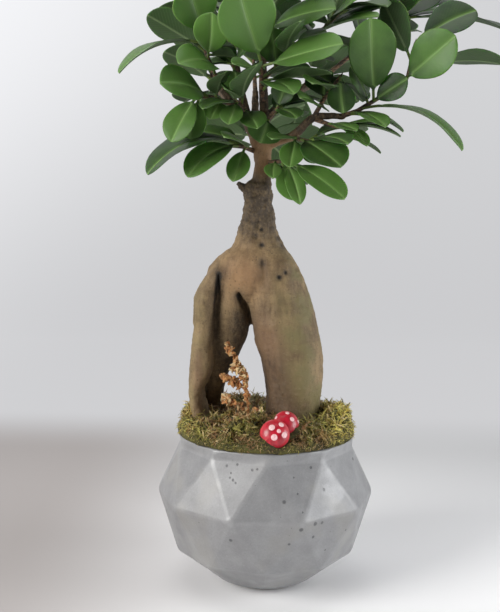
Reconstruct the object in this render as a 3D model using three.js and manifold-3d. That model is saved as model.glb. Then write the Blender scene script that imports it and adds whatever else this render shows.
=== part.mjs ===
// Ficus ginseng bonsai in a faceted concrete pot.
// Millimetres, +Z up. The middle of the pot's base is the origin and the front looks towards -Y.

import * as THREE from 'three';
import { mergeVertices } from 'three/addons/utils/BufferGeometryUtils.js';
import Module from 'manifold-3d';

const wasm = await Module();
wasm.setup();

// Pot: two rows of ten triangles meet at the widest edge, under a plain band that ends in a round rim
const potSides = 10;
const potWidestRadius = 65;
const potWidestHeight = 54;
const potUpperRadius = 52.8;
const potUpperHeight = 84.5;
const potLowerRadius = 54;
const potLowerHeight = 21.5;
const potFootRadius = 30;
const potFootHeight = 3.6;
const potBaseRadius = 20;
const potRimRadius = 52.3;
const potRimHeight = 90.2;
const potRimInnerRadius = 46;
const potFacetPieces = 4;
const cavityProfile = [[0, 13], [24, 13], [36, 17], [40, 26], [potRimInnerRadius, potRimHeight + 1]];

// Soil fills the cavity, and the moss cushion lies on it and over the rim
const fitGap = 0.3;
const soilWall = cavityProfile.slice(0, -1).map(([radius, height]) => (
  [Math.max(radius - 0.4, 0), height + fitGap]
));
const soilTop = [[44.7, 83], [38, 88], [20, 91], [0, 92]];
const mossEdgeRadius = 52.6;
const mossSectors = 22;
const mossRings = [0, 12, 24, 34, 42, 48, 51.5, mossEdgeRadius];
const mossCrown = [101, 101.5, 101, 100, 99, 97.5, 95, 92];
const mossLump = 1.7;
const mossTufts = [
  { at: [43, -4], reach: 11, rise: 11 },
  { at: [-47, -2], reach: 9, rise: 7 },
  { at: [-14, -30], reach: 12, rise: 4 },
  { at: [20, 34], reach: 16, rise: 6 },
  { at: [-24, 36], reach: 12, rise: 4 },
];

// Trunk: swollen roots, neck and brown branches. A row is a ring: x, y, z, half width, half depth
const rootSides = 12;
const branchSides = 7;
const body = [
  [-7, 0, 236, 7.5, 7.5], [-6.5, 0, 225, 8.7, 8.5], [-6.4, 0, 216, 9.9, 9.5], [-7, 0, 208, 12, 11],
  [-6.5, 0, 201, 15.5, 13], [-6.5, 0, 195, 19.5, 15], [-8, 0, 186, 25.5, 16.5], [-9.5, 1, 178, 27, 15],
  [-10, 4, 168, 20, 10.5], [-10.5, 6, 158, 10, 7],
];
const rightRoot = [
  [-1, 0, 199, 7, 10], [2, -1, 192, 12, 14], [4, -2, 183, 15.2, 16], [6, -2, 170, 18.4, 17.5],
  [9.3, -2, 156, 19.2, 18.5], [13.4, -2, 141, 18.6, 19], [15.7, -2, 127, 17.6, 18.5],
  [15.9, -2, 114, 16.6, 17], [15.2, -1, 98, 15.2, 15], [14, 0, 78, 12, 12], [12, 1, 58, 8, 8],
  [10, 2, 38, 3.5, 3.5],
];
const leftRoot = [
  [-18, -1, 192, 5, 9], [-25.2, -2, 185.5, 6.4, 10], [-32.2, -3, 179, 6.2, 10], [-36.4, -4, 171, 6.2, 10],
  [-37.6, -4, 161, 6, 9.5], [-37.4, -4, 153, 5.6, 9], [-38.4, -4, 142, 6.6, 9.5],
  [-39.2, -4, 128, 7.2, 10], [-41.5, -3, 117, 4.6, 9.5], [-41, -2, 108, 5, 9.5], [-38.5, -1, 97, 6.5, 9.5],
  [-31, 0, 78, 7, 8], [-26, 1, 58, 5, 6], [-21, 2, 40, 2.5, 2.5],
];
const middleRoot = [
  [-18, 0, 190, 9, 11], [-20.5, 0, 176, 9.5, 11.5], [-21.5, 2, 162, 10.5, 11], [-22.5, 5, 151, 11, 10.5],
  [-25.8, 8, 139, 9.6, 10], [-30.5, 11, 127, 7.8, 9.5], [-33, 14, 114, 7.2, 9], [-33, 16, 98, 7, 8.5],
  [-28, 16, 76, 5.5, 6.5], [-24, 15, 56, 2.5, 2.5],
];
const stub = [[-10, -1, 231, 3, 3], [-15.5, -2, 235, 2.6, 2.6], [-18, -2.5, 237, 1.4, 1.4]];
// Cuts in the trunk: the slot between two roots, and the crease over the arch. Rows as above
const clefts = [
  [[-28.8, -18, 185, 0.8, 8], [-29.6, -18, 176, 1.4, 11], [-30.2, -17, 166, 1.7, 12],
    [-30.4, -17, 150, 1.8, 12], [-29.2, -17, 139, 2.3, 12], [-27, -16, 129, 3.2, 12]],
  [[-17.3, -14, 172.5, 1.2, 5], [-14.5, -10, 167, 1.8, 8], [-12.2, -7, 161, 2.2, 9],
    [-10.6, -5, 154.8, 2.4, 9], [-9.8, -4, 148, 2.4, 8]],
];
// Branches rise from the neck. A row is a point of the middle line and the radius there
const branches = [
  [[-7, 0, 228, 6], [-5, 0, 244, 4.4], [-5.5, 0, 252, 3.6], [-8.5, 1, 261, 3.2], [-12, 2, 271, 2.9],
    [-16, 3, 284, 2.6], [-21, 6, 307, 2.1]],
  [[-13, 2, 274, 2.6], [-22, -4, 282, 2.2], [-28, -8, 290, 1.9]],
  [[-5, -1, 230, 6], [-4, -2, 248, 4.6], [-3, -2, 261, 3.5], [-4, 1, 280, 2.8], [-5, 4, 303, 2.3],
    [-5, 5, 317, 2]],
  [[-3, -2, 259, 3], [5, -6, 262, 2.7], [13, -8, 265, 2.4], [23, -9, 274, 2.2], [32, -7, 276, 2],
    [41, -5, 276, 1.8]],
  [[-6, 1, 252, 3.4], [-8, 16, 268, 2.9], [-9, 30, 282, 2.4], [-9, 42, 294, 2]],
  [[-12, 2, 269, 2.8], [-18, 16, 280, 2.4], [-25, 32, 288, 2.1], [-31, 48, 294, 1.8]],
  [[-4, 0, 273, 2.8], [6, 14, 284, 2.4], [17, 28, 293, 2.1], [28, 40, 300, 1.8]],
];

// Leaves: a stalk, then a blade that is widest past its middle and folded a little along its rib
const stalkShare = 0.14;
const stalkHalf = 0.8;
const bladeStations = [0.22, 0.55, 0.86];
const bladeHalfThickness = 0.65;
const ribFold = 0.16;
const leafWidth = 24;
const leafLength = 44;
const goldenAngle = 137.5;
const clearance = 0.3;
const clashShifts = [0, -6, 6, -12, 12, -18, 18, -24, 24];

// Leafy shoots: the twig's middle line, the leaves placed one by one, and how many more follow the rule.
// A leaf row is the share along the twig, tip x, y, z, width, facing and arch.
// Facing is in degrees: 0 looks up, 90 looks to the front, below 0 shows the underside to the front.
// Arch is how far the rib rises over the straight line to the tip, as a share of that line.
const shoots = {
  left_top: {
    twig: [[-27, -7, 289], [-34, -12, 301], [-38, -14, 312], [-39, -15, 322]],
    leaves: [
      [0.75, -83, -34, 295, 24, 5, 0.14], [0.6, -69, -22, 328, 23, -36, 0.06],
      [0.85, -47, -24, 343, 26, 62, 0.04], [0.5, -33, -42, 326, 19, 78, 0.03],
      [0.25, -50, -46, 299, 22, 62, 0.16], [0.55, -20, -34, 307, 18, -12, 0.04],
      [0.9, -60, 12, 322, 22, 20, 0.06], [0.6, -26, 14, 318, 20, 30, 0.06],
    ],
    more: 0,
    turn: 0,
  },
  left_mid: {
    twig: [[-22, -4, 282], [-34, -14, 285], [-42, -20, 285]],
    leaves: [
      [0.6, -60, -42, 289, 25, 60, 0.08], [0.95, -55, -30, 259, 18, 46, 0.1],
      [0.9, -45, -30, 261, 17, 62, 0.06], [0.4, -26, -32, 296, 16, 40, 0.06],
      [0.8, -50, 4, 284, 22, 14, 0.1], [0.3, -34, -24, 272, 15, 48, 0.06],
    ],
    more: 0,
    turn: 0,
  },
  left_low: {
    twig: [[-9, 1, 256], [-16, -9, 258], [-23, -15, 258]],
    leaves: [
      [0.45, -68, -42, 241, 30, 16, 0.2], [0.6, -46, -30, 240, 21, 34, 0.16],
      [0.3, -43, -22, 266, 21, 26, 0.08], [0.4, -21, -28, 238, 13, 62, 0.06],
      [0.7, -50, 4, 262, 22, 10, 0.12], [0.2, -26, -30, 262, 17, 40, 0.06],
    ],
    more: 0,
    turn: 0,
  },
  front_center: {
    twig: [[-4, 2, 284], [-6, -11, 291], [-6, -18, 297], [-6, -23, 302]],
    leaves: [
      [1, -19, -46, 339, 32, 82, 0.03], [0.95, 37, -40, 311, 27, 44, 0],
      [0.5, 32, -30, 297, 22, -6, 0.02], [0.25, 11, -44, 284, 20, 25, 0.14],
      [0.7, -22, -34, 301, 15, 40, 0.06], [0.6, 18, -20, 304, 18, 10, 0.06],
    ],
    more: 0,
    turn: 0,
  },
  top_center: {
    twig: [[-5, 5, 316], [-4, 4, 330], [-3, 4, 346]],
    leaves: [[0.3, 34, -24, 332, 28, 48, 0.06]],
    more: 9,
    turn: 20,
  },
  top_left: {
    twig: [[-21, 6, 306], [-24, 14, 321], [-27, 20, 338]],
    leaves: [],
    more: 8,
    turn: 75,
  },
  right_long: {
    twig: [[40, -5, 276], [49, -7, 279], [57, -8, 284], [67, -10, 290], [76, -12, 297], [80, -11, 316]],
    leaves: [
      [0.42, 52, -32, 326, 27, 76, 0.03], [0.74, 97.5, -35, 317, 25, 76, 0.03],
      [0.9, 63, 4, 343, 20, -38, 0.04], [1, 113, -14, 334, 26, 46, 0.06],
      [0.85, 133, 0, 307, 24, -12, 0.06], [0.25, 103, -38, 256, 22, 3, 0.16],
      [0.4, 75, -20, 296, 15, 74, 0.03], [0.12, 61, -38, 268, 16, 14, 0.08],
      [0.08, 74, -18, 267, 15, 5, 0.1], [0.35, 44, -12, 303, 20, 30, 0.06],
    ],
    more: 0,
    turn: 0,
  },
  right_mid: {
    twig: [[23, -8, 273], [29, -13, 284], [38, -15, 297]],
    leaves: [
      [1, 39, -27, 276, 16, 84, 0.02], [0.7, 21, -42, 290, 20, 40, 0.06],
      [0.35, 15, -36, 283, 17, 55, 0.04],
      [0.5, 31, -4, 298, 22, 10, 0.08], [0.8, 22, -22, 301, 18, 24, 0.06],
      [0.9, 54, -8, 286, 18, 14, 0.08], [0.4, 30, -34, 280, 14, 34, 0.06],
    ],
    more: 0,
    turn: 0,
  },
  right_low: {
    twig: [[12, -8, 264], [17, -14, 262], [22, -18, 261]],
    leaves: [
      [0.4, 37, -44, 246, 25, 40, 0.06], [1, 40, -30, 258, 20, 24, 0.08],
      [0.9, 62, -16, 255, 16, 3, 0.14], [0.3, 0, -34, 261, 16, 22, 0.04],
      [0.9, 56, -2, 269, 20, 6, 0.1], [0.7, 27, -34, 249, 16, 50, 0.06],
      [0.2, 10, -26, 246, 14, 48, 0.05],
    ],
    more: 0,
    turn: 0,
  },
  neck_right: {
    twig: [[-3, -3, 249], [4, -9, 250], [10, -13, 249]],
    leaves: [
      [1, 40, -38, 229, 20, 34, 0.08], [0.7, 14, -22, 228, 16, 50, 0.06],
      [0.9, 16, -36, 226, 11, 54, 0.08], [0.4, 1, -30, 240, 10, 56, 0.04],
      [0.8, 22, -18, 238, 15, 36, 0.06], [0.3, 10, -8, 236, 14, 30, 0.06],
    ],
    more: 0,
    turn: 0,
  },
  right_back: {
    twig: [[28, 40, 299], [46, 40, 314], [64, 38, 328], [78, 36, 338]],
    leaves: [
      [1, 145, 20, 327, 26, 12, 0.08], [0.9, 103, 36, 357, 26, 40, 0.06],
      [1, 138, 44, 358, 26, 25, 0.06],
    ],
    more: 6,
    turn: 10,
  },
  right_top: {
    twig: [[-4, 4, 308], [15, 8, 318], [31, 10, 328], [44, 12, 342]],
    leaves: [
      [0.9, 64, 6, 336, 24, 18, 0.08], [0.7, 52, -12, 341, 26, 52, 0.05],
      [0.6, 61, -10, 337, 16, 30, 0.04], [0.55, 57, -20, 328, 18, 34, 0.05],
    ],
    more: 7,
    turn: 30,
  },
  inner_left: {
    twig: [[-13, 0, 276], [-16, -10, 281], [-20, -18, 283]],
    leaves: [
      [0.6, -9, -32, 298, 20, 52, 0.06], [0.8, -38, -30, 277, 18, 12, 0.08],
      [0.3, -8, -28, 267, 16, 42, 0.06], [1, -26, -42, 288, 15, 44, 0.08],
      [0.9, -24, -28, 269, 13, 40, 0.05],
    ],
    more: 0,
    turn: 0,
  },
  inner_right: {
    twig: [[-3, 0, 272], [0, -10, 276], [3, -16, 279]],
    leaves: [
      [0.3, -6, -14, 260, 20, 95, 0.04], [0.9, 13, -36, 272, 15, 22, 0.06],
      [0.6, 14, -4, 289, 20, 18, 0.08], [0.5, 19, 20, 277, 20, 8, 0.08],
      [1, 8, -30, 292, 14, 50, 0.05], [0.9, 28, -8, 286, 16, 18, 0.06],
    ],
    more: 0,
    turn: 0,
  },
  right_fan: {
    twig: [[25, -9, 274], [32, -14, 271], [38, -17, 269]],
    leaves: [
      [1, 72, -22, 264, 12, 12, 0.1], [0.8, 52, -28, 258, 12, 16, 0.08],
      [0.9, 62, -30, 271, 11, 14, 0.06], [0.5, 46, -34, 266, 12, 24, 0.05],
    ],
    more: 0,
    turn: 0,
  },
  stem_left: {
    twig: [[-17, 4, 288], [-20, -4, 297], [-22, -9, 304]],
    leaves: [
      [1, -42, -18, 303, 18, 30, 0.08], [0.9, -12, -26, 314, 17, 44, 0.05],
      [0.6, -4, -24, 301, 17, 26, 0.06], [0.8, -34, -2, 317, 17, 20, 0.06],
      [0.4, -35, -16, 289, 14, 24, 0.06], [0.7, -32, 16, 306, 18, 6, 0.06],
      [0.9, -20, -20, 286, 15, 60, 0.05],
    ],
    more: 0,
    turn: 0,
  },
  stem_center: {
    twig: [[-5, 4, 297], [2, -4, 303], [8, -9, 308]],
    leaves: [
      [1, 30, -14, 322, 20, 26, 0.06], [0.9, 14, -30, 322, 18, 50, 0.05],
      [0.8, 36, 2, 308, 20, 10, 0.08], [0.5, -2, -22, 322, 18, 70, 0.04],
      [1, 20, -34, 304, 17, 12, 0.06], [0.6, 10, 20, 318, 20, 10, 0.08],
      [0.2, 12, -14, 284, 16, 40, 0.05],
    ],
    more: 0,
    turn: 0,
  },
  back: {
    twig: [[-9, 41, 293], [-10, 50, 308], [-11, 54, 323]],
    leaves: [],
    more: 9,
    turn: 0,
  },
  back_left: {
    twig: [[-31, 47, 293], [-36, 57, 302], [-39, 62, 314]],
    leaves: [],
    more: 8,
    turn: 100,
    reach: 0.8,
  },
  back_right: {
    twig: [[16, 27, 292], [21, 42, 298], [26, 56, 306]],
    leaves: [],
    more: 8,
    turn: 80,
  },
  back_low: {
    twig: [[-8, 10, 262], [-9, 24, 266], [-11, 36, 269]],
    leaves: [],
    more: 7,
    turn: 30,
  },
};
const twigSides = 5;
const twigRootRadius = 1.5;
const twigTipRadius = 0.9;

// Toadstool ornaments: cap centre, the way the cap looks, and cap radius
const capProfile = [
  [0, -0.14], [0.55, -0.17], [0.86, -0.23], [1, -0.07], [0.94, 0.19], [0.72, 0.43], [0.4, 0.59], [0, 0.65],
];
const capRimPoint = 3;
const capSectors = 14;
const toadstools = {
  front: { cap: [4, -45, 99.5], looks: [0, -0.93, 0.37], radius: 8.3, foot: [4.5, -35, 92.5] },
  rear: { cap: [10.8, -34, 103], looks: [0.3, -0.8, 0.5], radius: 7.4, foot: [10, -25, 94] },
};
const toadstoolStemRadius = 2.2;
const capToStem = 2.7;

// Dried sprig: thin stems with curled dry florets. A row is x, y, z
const sprigStemRadius = 0.9;
const sprigFloretRadius = 2.6;
const sprigStems = [
  [[-12, -17, 93], [-11, -17, 106], [-12, -16, 116], [-14, -15, 126], [-19, -15, 136], [-24, -15, 145]],
  [[-12, -16, 118], [-18, -15, 122], [-26, -15, 126]],
  [[-13, -16, 121], [-15, -15, 129], [-21, -15, 130]],
  [[-11, -17, 104], [-18, -17, 110], [-25, -18, 113]],
  [[-11, -17, 103], [-7, -18, 106], [-3, -19, 107]],
];
const floretsPerStem = 3;

// A closed geometry becomes a solid once it holds shared positions only
function solid(geometry) {
  const bare = geometry.index ? geometry.clone() : geometry;
  bare.deleteAttribute('normal');
  bare.deleteAttribute('uv');
  const merged = mergeVertices(bare, 1e-5);
  return new wasm.Manifold(new wasm.Mesh({
    numProp: 3,
    vertProperties: merged.attributes.position.array,
    triVerts: new Uint32Array(merged.index.array),
  }));
}

function indexed(points, triangles) {
  const geometry = new THREE.BufferGeometry();
  const values = points.flatMap((p) => [p.x, p.y, p.z]);
  geometry.setAttribute('position', new THREE.Float32BufferAttribute(values, 3));
  geometry.setIndex(triangles);
  return geometry;
}

function join(solids) {
  return solids.reduce((whole, piece) => whole.add(piece));
}

function overlaps(a, b) {
  const boxA = a.boundingBox();
  const boxB = b.boundingBox();
  const apart = [0, 1, 2].some((k) => boxA.max[k] < boxB.min[k] || boxB.max[k] < boxA.min[k]);
  return !apart && a.intersect(b).volume() > 1e-6;
}

// A cut can leave crumbs: the largest body is the piece
function largest(piece) {
  const bodies = piece.decompose();
  return bodies.reduce((best, one) => (one.volume() > best.volume() ? one : best));
}

// Rings of points, each with the same count, closed by a point at each end
function skin(rings, first, last) {
  const count = rings[0].length;
  const points = [first, ...rings.flat(), last];
  const end = points.length - 1;
  const at = (ring, k) => 1 + ring * count + (k % count);
  const triangles = [];
  for (let k = 0; k < count; k += 1) {
    triangles.push(0, at(0, k + 1), at(0, k));
    for (let ring = 0; ring + 1 < rings.length; ring += 1) {
      triangles.push(at(ring, k), at(ring, k + 1), at(ring + 1, k + 1));
      triangles.push(at(ring, k), at(ring + 1, k + 1), at(ring + 1, k));
    }
    triangles.push(end, at(rings.length - 1, k), at(rings.length - 1, k + 1));
  }
  return indexed(points, triangles);
}

// A limb is a row of oval rings square to its middle line; grow widens it for the hole it stands in
function limb(rows, sides, grow = 0) {
  const middles = rows.map(([x, y, z]) => new THREE.Vector3(x, y, z));
  const side = new THREE.Vector3(1, 0, 0);
  const rings = middles.map((middle, i) => {
    const before = middles[Math.max(i - 1, 0)];
    const after = middles[Math.min(i + 1, middles.length - 1)];
    const along = after.clone().sub(before).normalize();
    if (i === 0 && Math.abs(along.x) > 0.8) side.set(0, 1, 0);
    side.addScaledVector(along, -side.dot(along)).normalize();
    const deep = new THREE.Vector3().crossVectors(along, side);
    const [, , , halfWidth, halfDepth = halfWidth] = rows[i];
    return Array.from({ length: sides }, (_, k) => {
      const turn = (2 * Math.PI * k) / sides;
      return middle.clone()
        .addScaledVector(side, (halfWidth + grow) * Math.cos(turn))
        .addScaledVector(deep, (halfDepth + grow) * Math.sin(turn));
    });
  });
  const cap = (i, j) => {
    const outward = middles[i].clone().sub(middles[j]).normalize();
    return middles[i].clone().addScaledVector(outward, Math.min(rows[i][3] * 0.5, 3) + grow);
  };
  return solid(skin(rings, cap(0, 1), cap(rows.length - 1, rows.length - 2)));
}

function lathe(profile, sectors) {
  const outline = profile.map(([radius, height]) => new THREE.Vector2(radius, height));
  return new THREE.LatheGeometry(outline, sectors).rotateX(Math.PI / 2);
}

// Pot: straight-sided rings whose sides are cut in equal pieces, so that the facets stay flat
function makePot() {
  const count = potSides * potFacetPieces;
  const corner = (radius, height, turnShare, k) => {
    const turn = (2 * Math.PI * (k + turnShare)) / potSides;
    return new THREE.Vector3(radius * Math.sin(turn), -radius * Math.cos(turn), height);
  };
  const straightRing = (radius, height) => Array.from({ length: count }, (_, i) => {
    const side = Math.floor(i / potFacetPieces);
    const share = (i % potFacetPieces) / potFacetPieces;
    return corner(radius, height, 0, side).lerp(corner(radius, height, 0, side + 1), share);
  });
  const roundRing = (radius, height) => Array.from({ length: count }, (_, i) => (
    corner(radius, height, 0, i / potFacetPieces)
  ));
  const widest = Array.from({ length: potSides }, (_, k) => (
    corner(potWidestRadius, potWidestHeight, 0.5, k)
  ));
  const rings = [
    roundRing(potBaseRadius, 0),
    roundRing(potFootRadius, potFootHeight),
    straightRing(potLowerRadius, potLowerHeight),
    straightRing(potUpperRadius, potUpperHeight),
    roundRing(potRimRadius, potRimHeight),
  ];
  const underside = new THREE.Vector3(0, 0, 0);
  const lid = new THREE.Vector3(0, 0, potRimHeight);
  const points = [underside, ...rings.flat(), ...widest, lid];
  const at = (ring, i) => 1 + ring * count + (i % count);
  const wide = (k) => 1 + rings.length * count + (k % potSides);
  const top = points.length - 1;
  const triangles = [];
  for (let i = 0; i < count; i += 1) {
    const side = Math.floor(i / potFacetPieces);
    triangles.push(0, at(0, i + 1), at(0, i), top, at(4, i), at(4, i + 1));
    [[0, 1], [1, 2], [3, 4]].forEach(([low, high]) => {
      triangles.push(at(low, i), at(low, i + 1), at(high, i + 1));
      triangles.push(at(low, i), at(high, i + 1), at(high, i));
    });
    triangles.push(at(2, i), at(2, i + 1), wide(side), at(3, i + 1), at(3, i), wide(side));
  }
  for (let k = 0; k < potSides; k += 1) {
    const next = at(2, (k + 1) * potFacetPieces);
    const above = at(3, (k + 1) * potFacetPieces);
    triangles.push(wide(k), next, wide(k + 1), wide(k), wide(k + 1), above);
  }
  const cavity = [...cavityProfile, [0, potRimHeight + 1]];
  return solid(indexed(points, triangles)).subtract(solid(lathe(cavity, count)));
}

// Moss: a lumpy cushion that follows the soil below and hangs a little over the rim
function mossTop(x, y, ring) {
  const lumps = Math.sin(x * 0.41 + 1.3) * Math.cos(y * 0.37) + Math.sin(x * 0.19 - y * 0.27 + 2.1);
  const tufts = mossTufts.reduce((sum, { at, reach, rise }) => {
    const distance = Math.hypot(x - at[0], y - at[1]);
    return sum + rise * Math.exp(-((distance / reach) ** 2));
  }, 0);
  const edgeFade = ring >= mossRings.length - 2 ? 0.35 : 1;
  return mossCrown[ring] + mossLump * lumps * edgeFade + tufts * edgeFade;
}

function makeMoss() {
  const ring = (radius, height) => Array.from({ length: mossSectors }, (_, k) => {
    const turn = (2 * Math.PI * k) / mossSectors;
    const wave = radius > potRimInnerRadius ? 0.5 * Math.sin(5 * turn) + 0.4 * Math.sin(8 * turn + 1) : 0;
    const x = (radius + wave) * Math.cos(turn);
    const y = (radius + wave) * Math.sin(turn);
    return new THREE.Vector3(x, y, height(x, y));
  });
  const flat = (height) => () => height;
  const under = [[20, 91], [38, 88], [44.7, 83.2], [45.3, potRimHeight], [mossEdgeRadius, potRimHeight]];
  const rings = [
    ...under.map(([radius, height]) => ring(radius, flat(height + fitGap))),
    ...mossRings.map((radius, i) => ring(radius, (x, y) => mossTop(x, y, i))).slice(1).reverse(),
  ];
  const low = new THREE.Vector3(0, 0, 92 + fitGap);
  const high = new THREE.Vector3(0, 0, mossTop(0, 0, 0));
  return solid(skin(rings, low, high));
}

function makeTrunk(grow = 0) {
  const roots = [body, rightRoot, leftRoot, middleRoot].map((rows) => limb(rows, rootSides, grow));
  const knot = limb(stub, branchSides + 1, grow);
  const crown = branches.map((rows) => limb(rows, branchSides, grow));
  const cuts = clefts.map((rows) => limb(rows, 8, -0.9 * grow));
  return join([...roots, knot, ...crown]).subtract(join(cuts));
}

// The point at a share of a twig, counted in its straight pieces, and the way the twig runs there
function alongTwig(twig, share) {
  const pieces = twig.length - 1;
  const piece = Math.min(Math.floor(share * pieces), pieces - 1);
  const from = new THREE.Vector3(...twig[piece]);
  const to = new THREE.Vector3(...twig[piece + 1]);
  return { point: from.clone().lerp(to, share * pieces - piece), way: to.sub(from).normalize() };
}

function makeTwig(twig, grow = 0) {
  const rows = twig.map((point, i) => (
    [...point, THREE.MathUtils.lerp(twigRootRadius, twigTipRadius, i / (twig.length - 1))]
  ));
  return limb(rows, twigSides, grow);
}

// Half width of a blade, as a share of its greatest half width, from its foot at 0 to its tip at 1
function bladeOutline(share) {
  const widest = 0.6;
  const shape = (s) => s ** 0.9 * (1 - s) ** 0.6;
  return shape(share) / shape(widest);
}

// A leaf is four lines of points, left edge, upper rib, right edge and lower rib, from root to tip
function makeLeaf({ base, tip, face, width, arch }, from = 0, grow = 0) {
  const run = tip.clone().sub(base);
  const length = run.length();
  const normal = face.clone().addScaledVector(run, -face.dot(run) / run.lengthSq()).normalize();
  const control = base.clone().lerp(tip, 0.5).addScaledVector(normal, arch * length * 2);
  const line = new THREE.QuadraticBezierCurve3(base, control, tip);
  const stations = [0, stalkShare, ...bladeStations.map((s) => stalkShare + s * (1 - stalkShare))];
  const rings = stations.filter((share) => share >= from).map((share) => {
    const along = line.getTangent(share);
    const across = new THREE.Vector3().crossVectors(normal, along).normalize();
    const up = new THREE.Vector3().crossVectors(along, across);
    const blade = (share - stalkShare) / (1 - stalkShare);
    const half = Math.max(blade > 0 ? (width / 2) * bladeOutline(blade) : 0, stalkHalf) + grow;
    const thick = (blade > 0.9 ? 0.7 : 1) * bladeHalfThickness + grow;
    const fold = blade > 0 ? half * ribFold : 0;
    const middle = line.getPoint(share);
    const place = (sideways, height) => (
      middle.clone().addScaledVector(across, sideways).addScaledVector(up, height)
    );
    return [place(half, fold), place(0, thick), place(-half, fold), place(0, -thick)];
  });
  const first = rings[0].reduce((sum, p) => sum.addScaledVector(p, 0.25), new THREE.Vector3());
  return solid(skin(rings, first, tip.clone().addScaledVector(run, grow / length)));
}

function handLeaf(shoot, [share, x, y, z, width, facing, arch], shift) {
  const turn = THREE.MathUtils.degToRad(facing);
  return {
    base: alongTwig(shoot.twig, share).point,
    tip: new THREE.Vector3(x, y + shift, z),
    face: new THREE.Vector3(0, -Math.sin(turn), Math.cos(turn)),
    width,
    arch,
  };
}

// Leaves past the placed ones stand round the twig by the golden angle, steeper towards its end
function ruleLeaf(shoot, i, shift) {
  const { point, way } = alongTwig(shoot.twig, 0.3 + (0.7 * (i + 0.5)) / shoot.more);
  const turn = THREE.MathUtils.degToRad(shoot.turn + goldenAngle * i + 3 * shift);
  const lift = THREE.MathUtils.degToRad(12 + (48 * i) / shoot.more);
  const spread = ((i * 37 + shoot.more * 11) % 16) / 16;
  const sideways = new THREE.Vector3(Math.cos(turn), Math.sin(turn), 0);
  sideways.addScaledVector(way, -sideways.dot(way)).normalize();
  const run = sideways.multiplyScalar(Math.cos(lift)).addScaledVector(way, Math.sin(lift));
  const length = leafLength * (shoot.reach ?? 1) * (0.82 + 0.3 * spread);
  return {
    base: point,
    tip: point.clone().addScaledVector(run, length),
    face: way.clone().add(new THREE.Vector3(0, 0, 0.6)).normalize(),
    width: leafWidth * (0.85 + 0.25 * (1 - spread)),
    arch: 0.1,
  };
}

// Each leaf takes the first place where it is clear of the other pieces and, if it can, of its own shoot
function makeShoot(shoot, obstacles, wood) {
  const makers = [
    ...shoot.leaves.map((row) => (shift) => handLeaf(shoot, row, shift)),
    ...Array.from({ length: shoot.more }, (_, i) => (shift) => ruleLeaf(shoot, i, shift)),
  ];
  const blades = [];
  const parts = [makeTwig(shoot.twig)];
  makers.forEach((maker) => {
    const places = clashShifts.map((shift) => maker(shift)).filter((place) => {
      const room = makeLeaf(place, 0, clearance);
      return !obstacles.some((other) => overlaps(room, other));
    });
    if (places.length === 0) return;
    const free = places.find((place) => {
      const room = makeLeaf(place, stalkShare, clearance);
      return !blades.some((other) => overlaps(room, other));
    });
    const place = free ?? places[0];
    blades.push(makeLeaf(place, stalkShare));
    parts.push(makeLeaf(place));
  });
  return largest(join(parts).subtract(wood));
}

function makeCap({ cap, looks, radius }, grow = 0) {
  const profile = capProfile.map(([share, height], i) => {
    const outward = i > capRimPoint ? grow : -grow;
    return [share * (radius + grow), height * radius + outward];
  });
  const turn = new THREE.Quaternion().setFromUnitVectors(
    new THREE.Vector3(0, 0, 1),
    new THREE.Vector3(...looks).normalize(),
  );
  return solid(lathe(profile, capSectors).applyQuaternion(turn).translate(...cap));
}

function makeToadstoolStem({ cap, looks, foot }, grow = 0) {
  const away = new THREE.Vector3(...looks).normalize().multiplyScalar(-capToStem);
  const top = new THREE.Vector3(...cap).add(away);
  const bend = top.clone().add(away).lerp(new THREE.Vector3(...foot), 0.25);
  const rows = [top, bend, new THREE.Vector3(...foot)].map((p) => [p.x, p.y, p.z, toadstoolStemRadius]);
  return limb(rows, 10, grow);
}

// Dried sprig: florets sit in turn on either side of each stem
function makeSprig(grow = 0) {
  const stems = sprigStems.map((points) => {
    const rows = points.map((point) => [...point, sprigStemRadius]);
    return limb(rows, 5, grow);
  });
  if (grow > 0) return join(stems);
  const florets = sprigStems.flatMap((points, stem) => {
    const line = new THREE.CatmullRomCurve3(points.map(([x, y, z]) => new THREE.Vector3(x, y, z)));
    return Array.from({ length: floretsPerStem }, (_, i) => {
      const share = 0.4 + (0.6 * i) / (floretsPerStem - 1);
      const swing = ((i + stem) * goldenAngle * Math.PI) / 180;
      const aside = new THREE.Vector3(Math.cos(swing), 0.4 * Math.sin(swing), 0.5);
      const spot = line.getPointAt(share).add(aside);
      const size = sprigFloretRadius * (0.7 + 0.3 * Math.abs(Math.cos(swing)));
      return solid(new THREE.OctahedronGeometry(size, 0).rotateY(swing).translate(spot.x, spot.y, spot.z));
    });
  });
  return join([...stems, ...florets]);
}

// The scene graph: one named mesh for each piece
const group = new THREE.Group();

function show(name, piece, color, roughness) {
  const mesh = piece.getMesh();
  const geometry = new THREE.BufferGeometry();
  geometry.setAttribute('position', new THREE.BufferAttribute(new Float32Array(mesh.vertProperties), 3));
  geometry.setIndex(new THREE.BufferAttribute(new Uint32Array(mesh.triVerts), 1));
  geometry.computeVertexNormals();
  const node = new THREE.Mesh(geometry, new THREE.MeshStandardMaterial({ color, roughness, metalness: 0 }));
  node.name = name;
  group.add(node);
}

const trunk = makeTrunk();
const trunkRoom = makeTrunk(fitGap);
const sprig = makeSprig().subtract(trunkRoom);
const specs = Object.entries(toadstools);
const caps = Object.fromEntries(specs.map(([name, spec]) => [name, makeCap(spec)]));
const stems = Object.fromEntries(specs.map(([name, spec]) => [name, makeToadstoolStem(spec)]));
const toadstoolRooms = Object.values(toadstools).map((spec) => (
  makeCap(spec, fitGap).add(makeToadstoolStem(spec, fitGap))
));
const moss = largest(makeMoss().subtract(join([trunkRoom, ...toadstoolRooms, makeSprig(fitGap)])));

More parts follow.
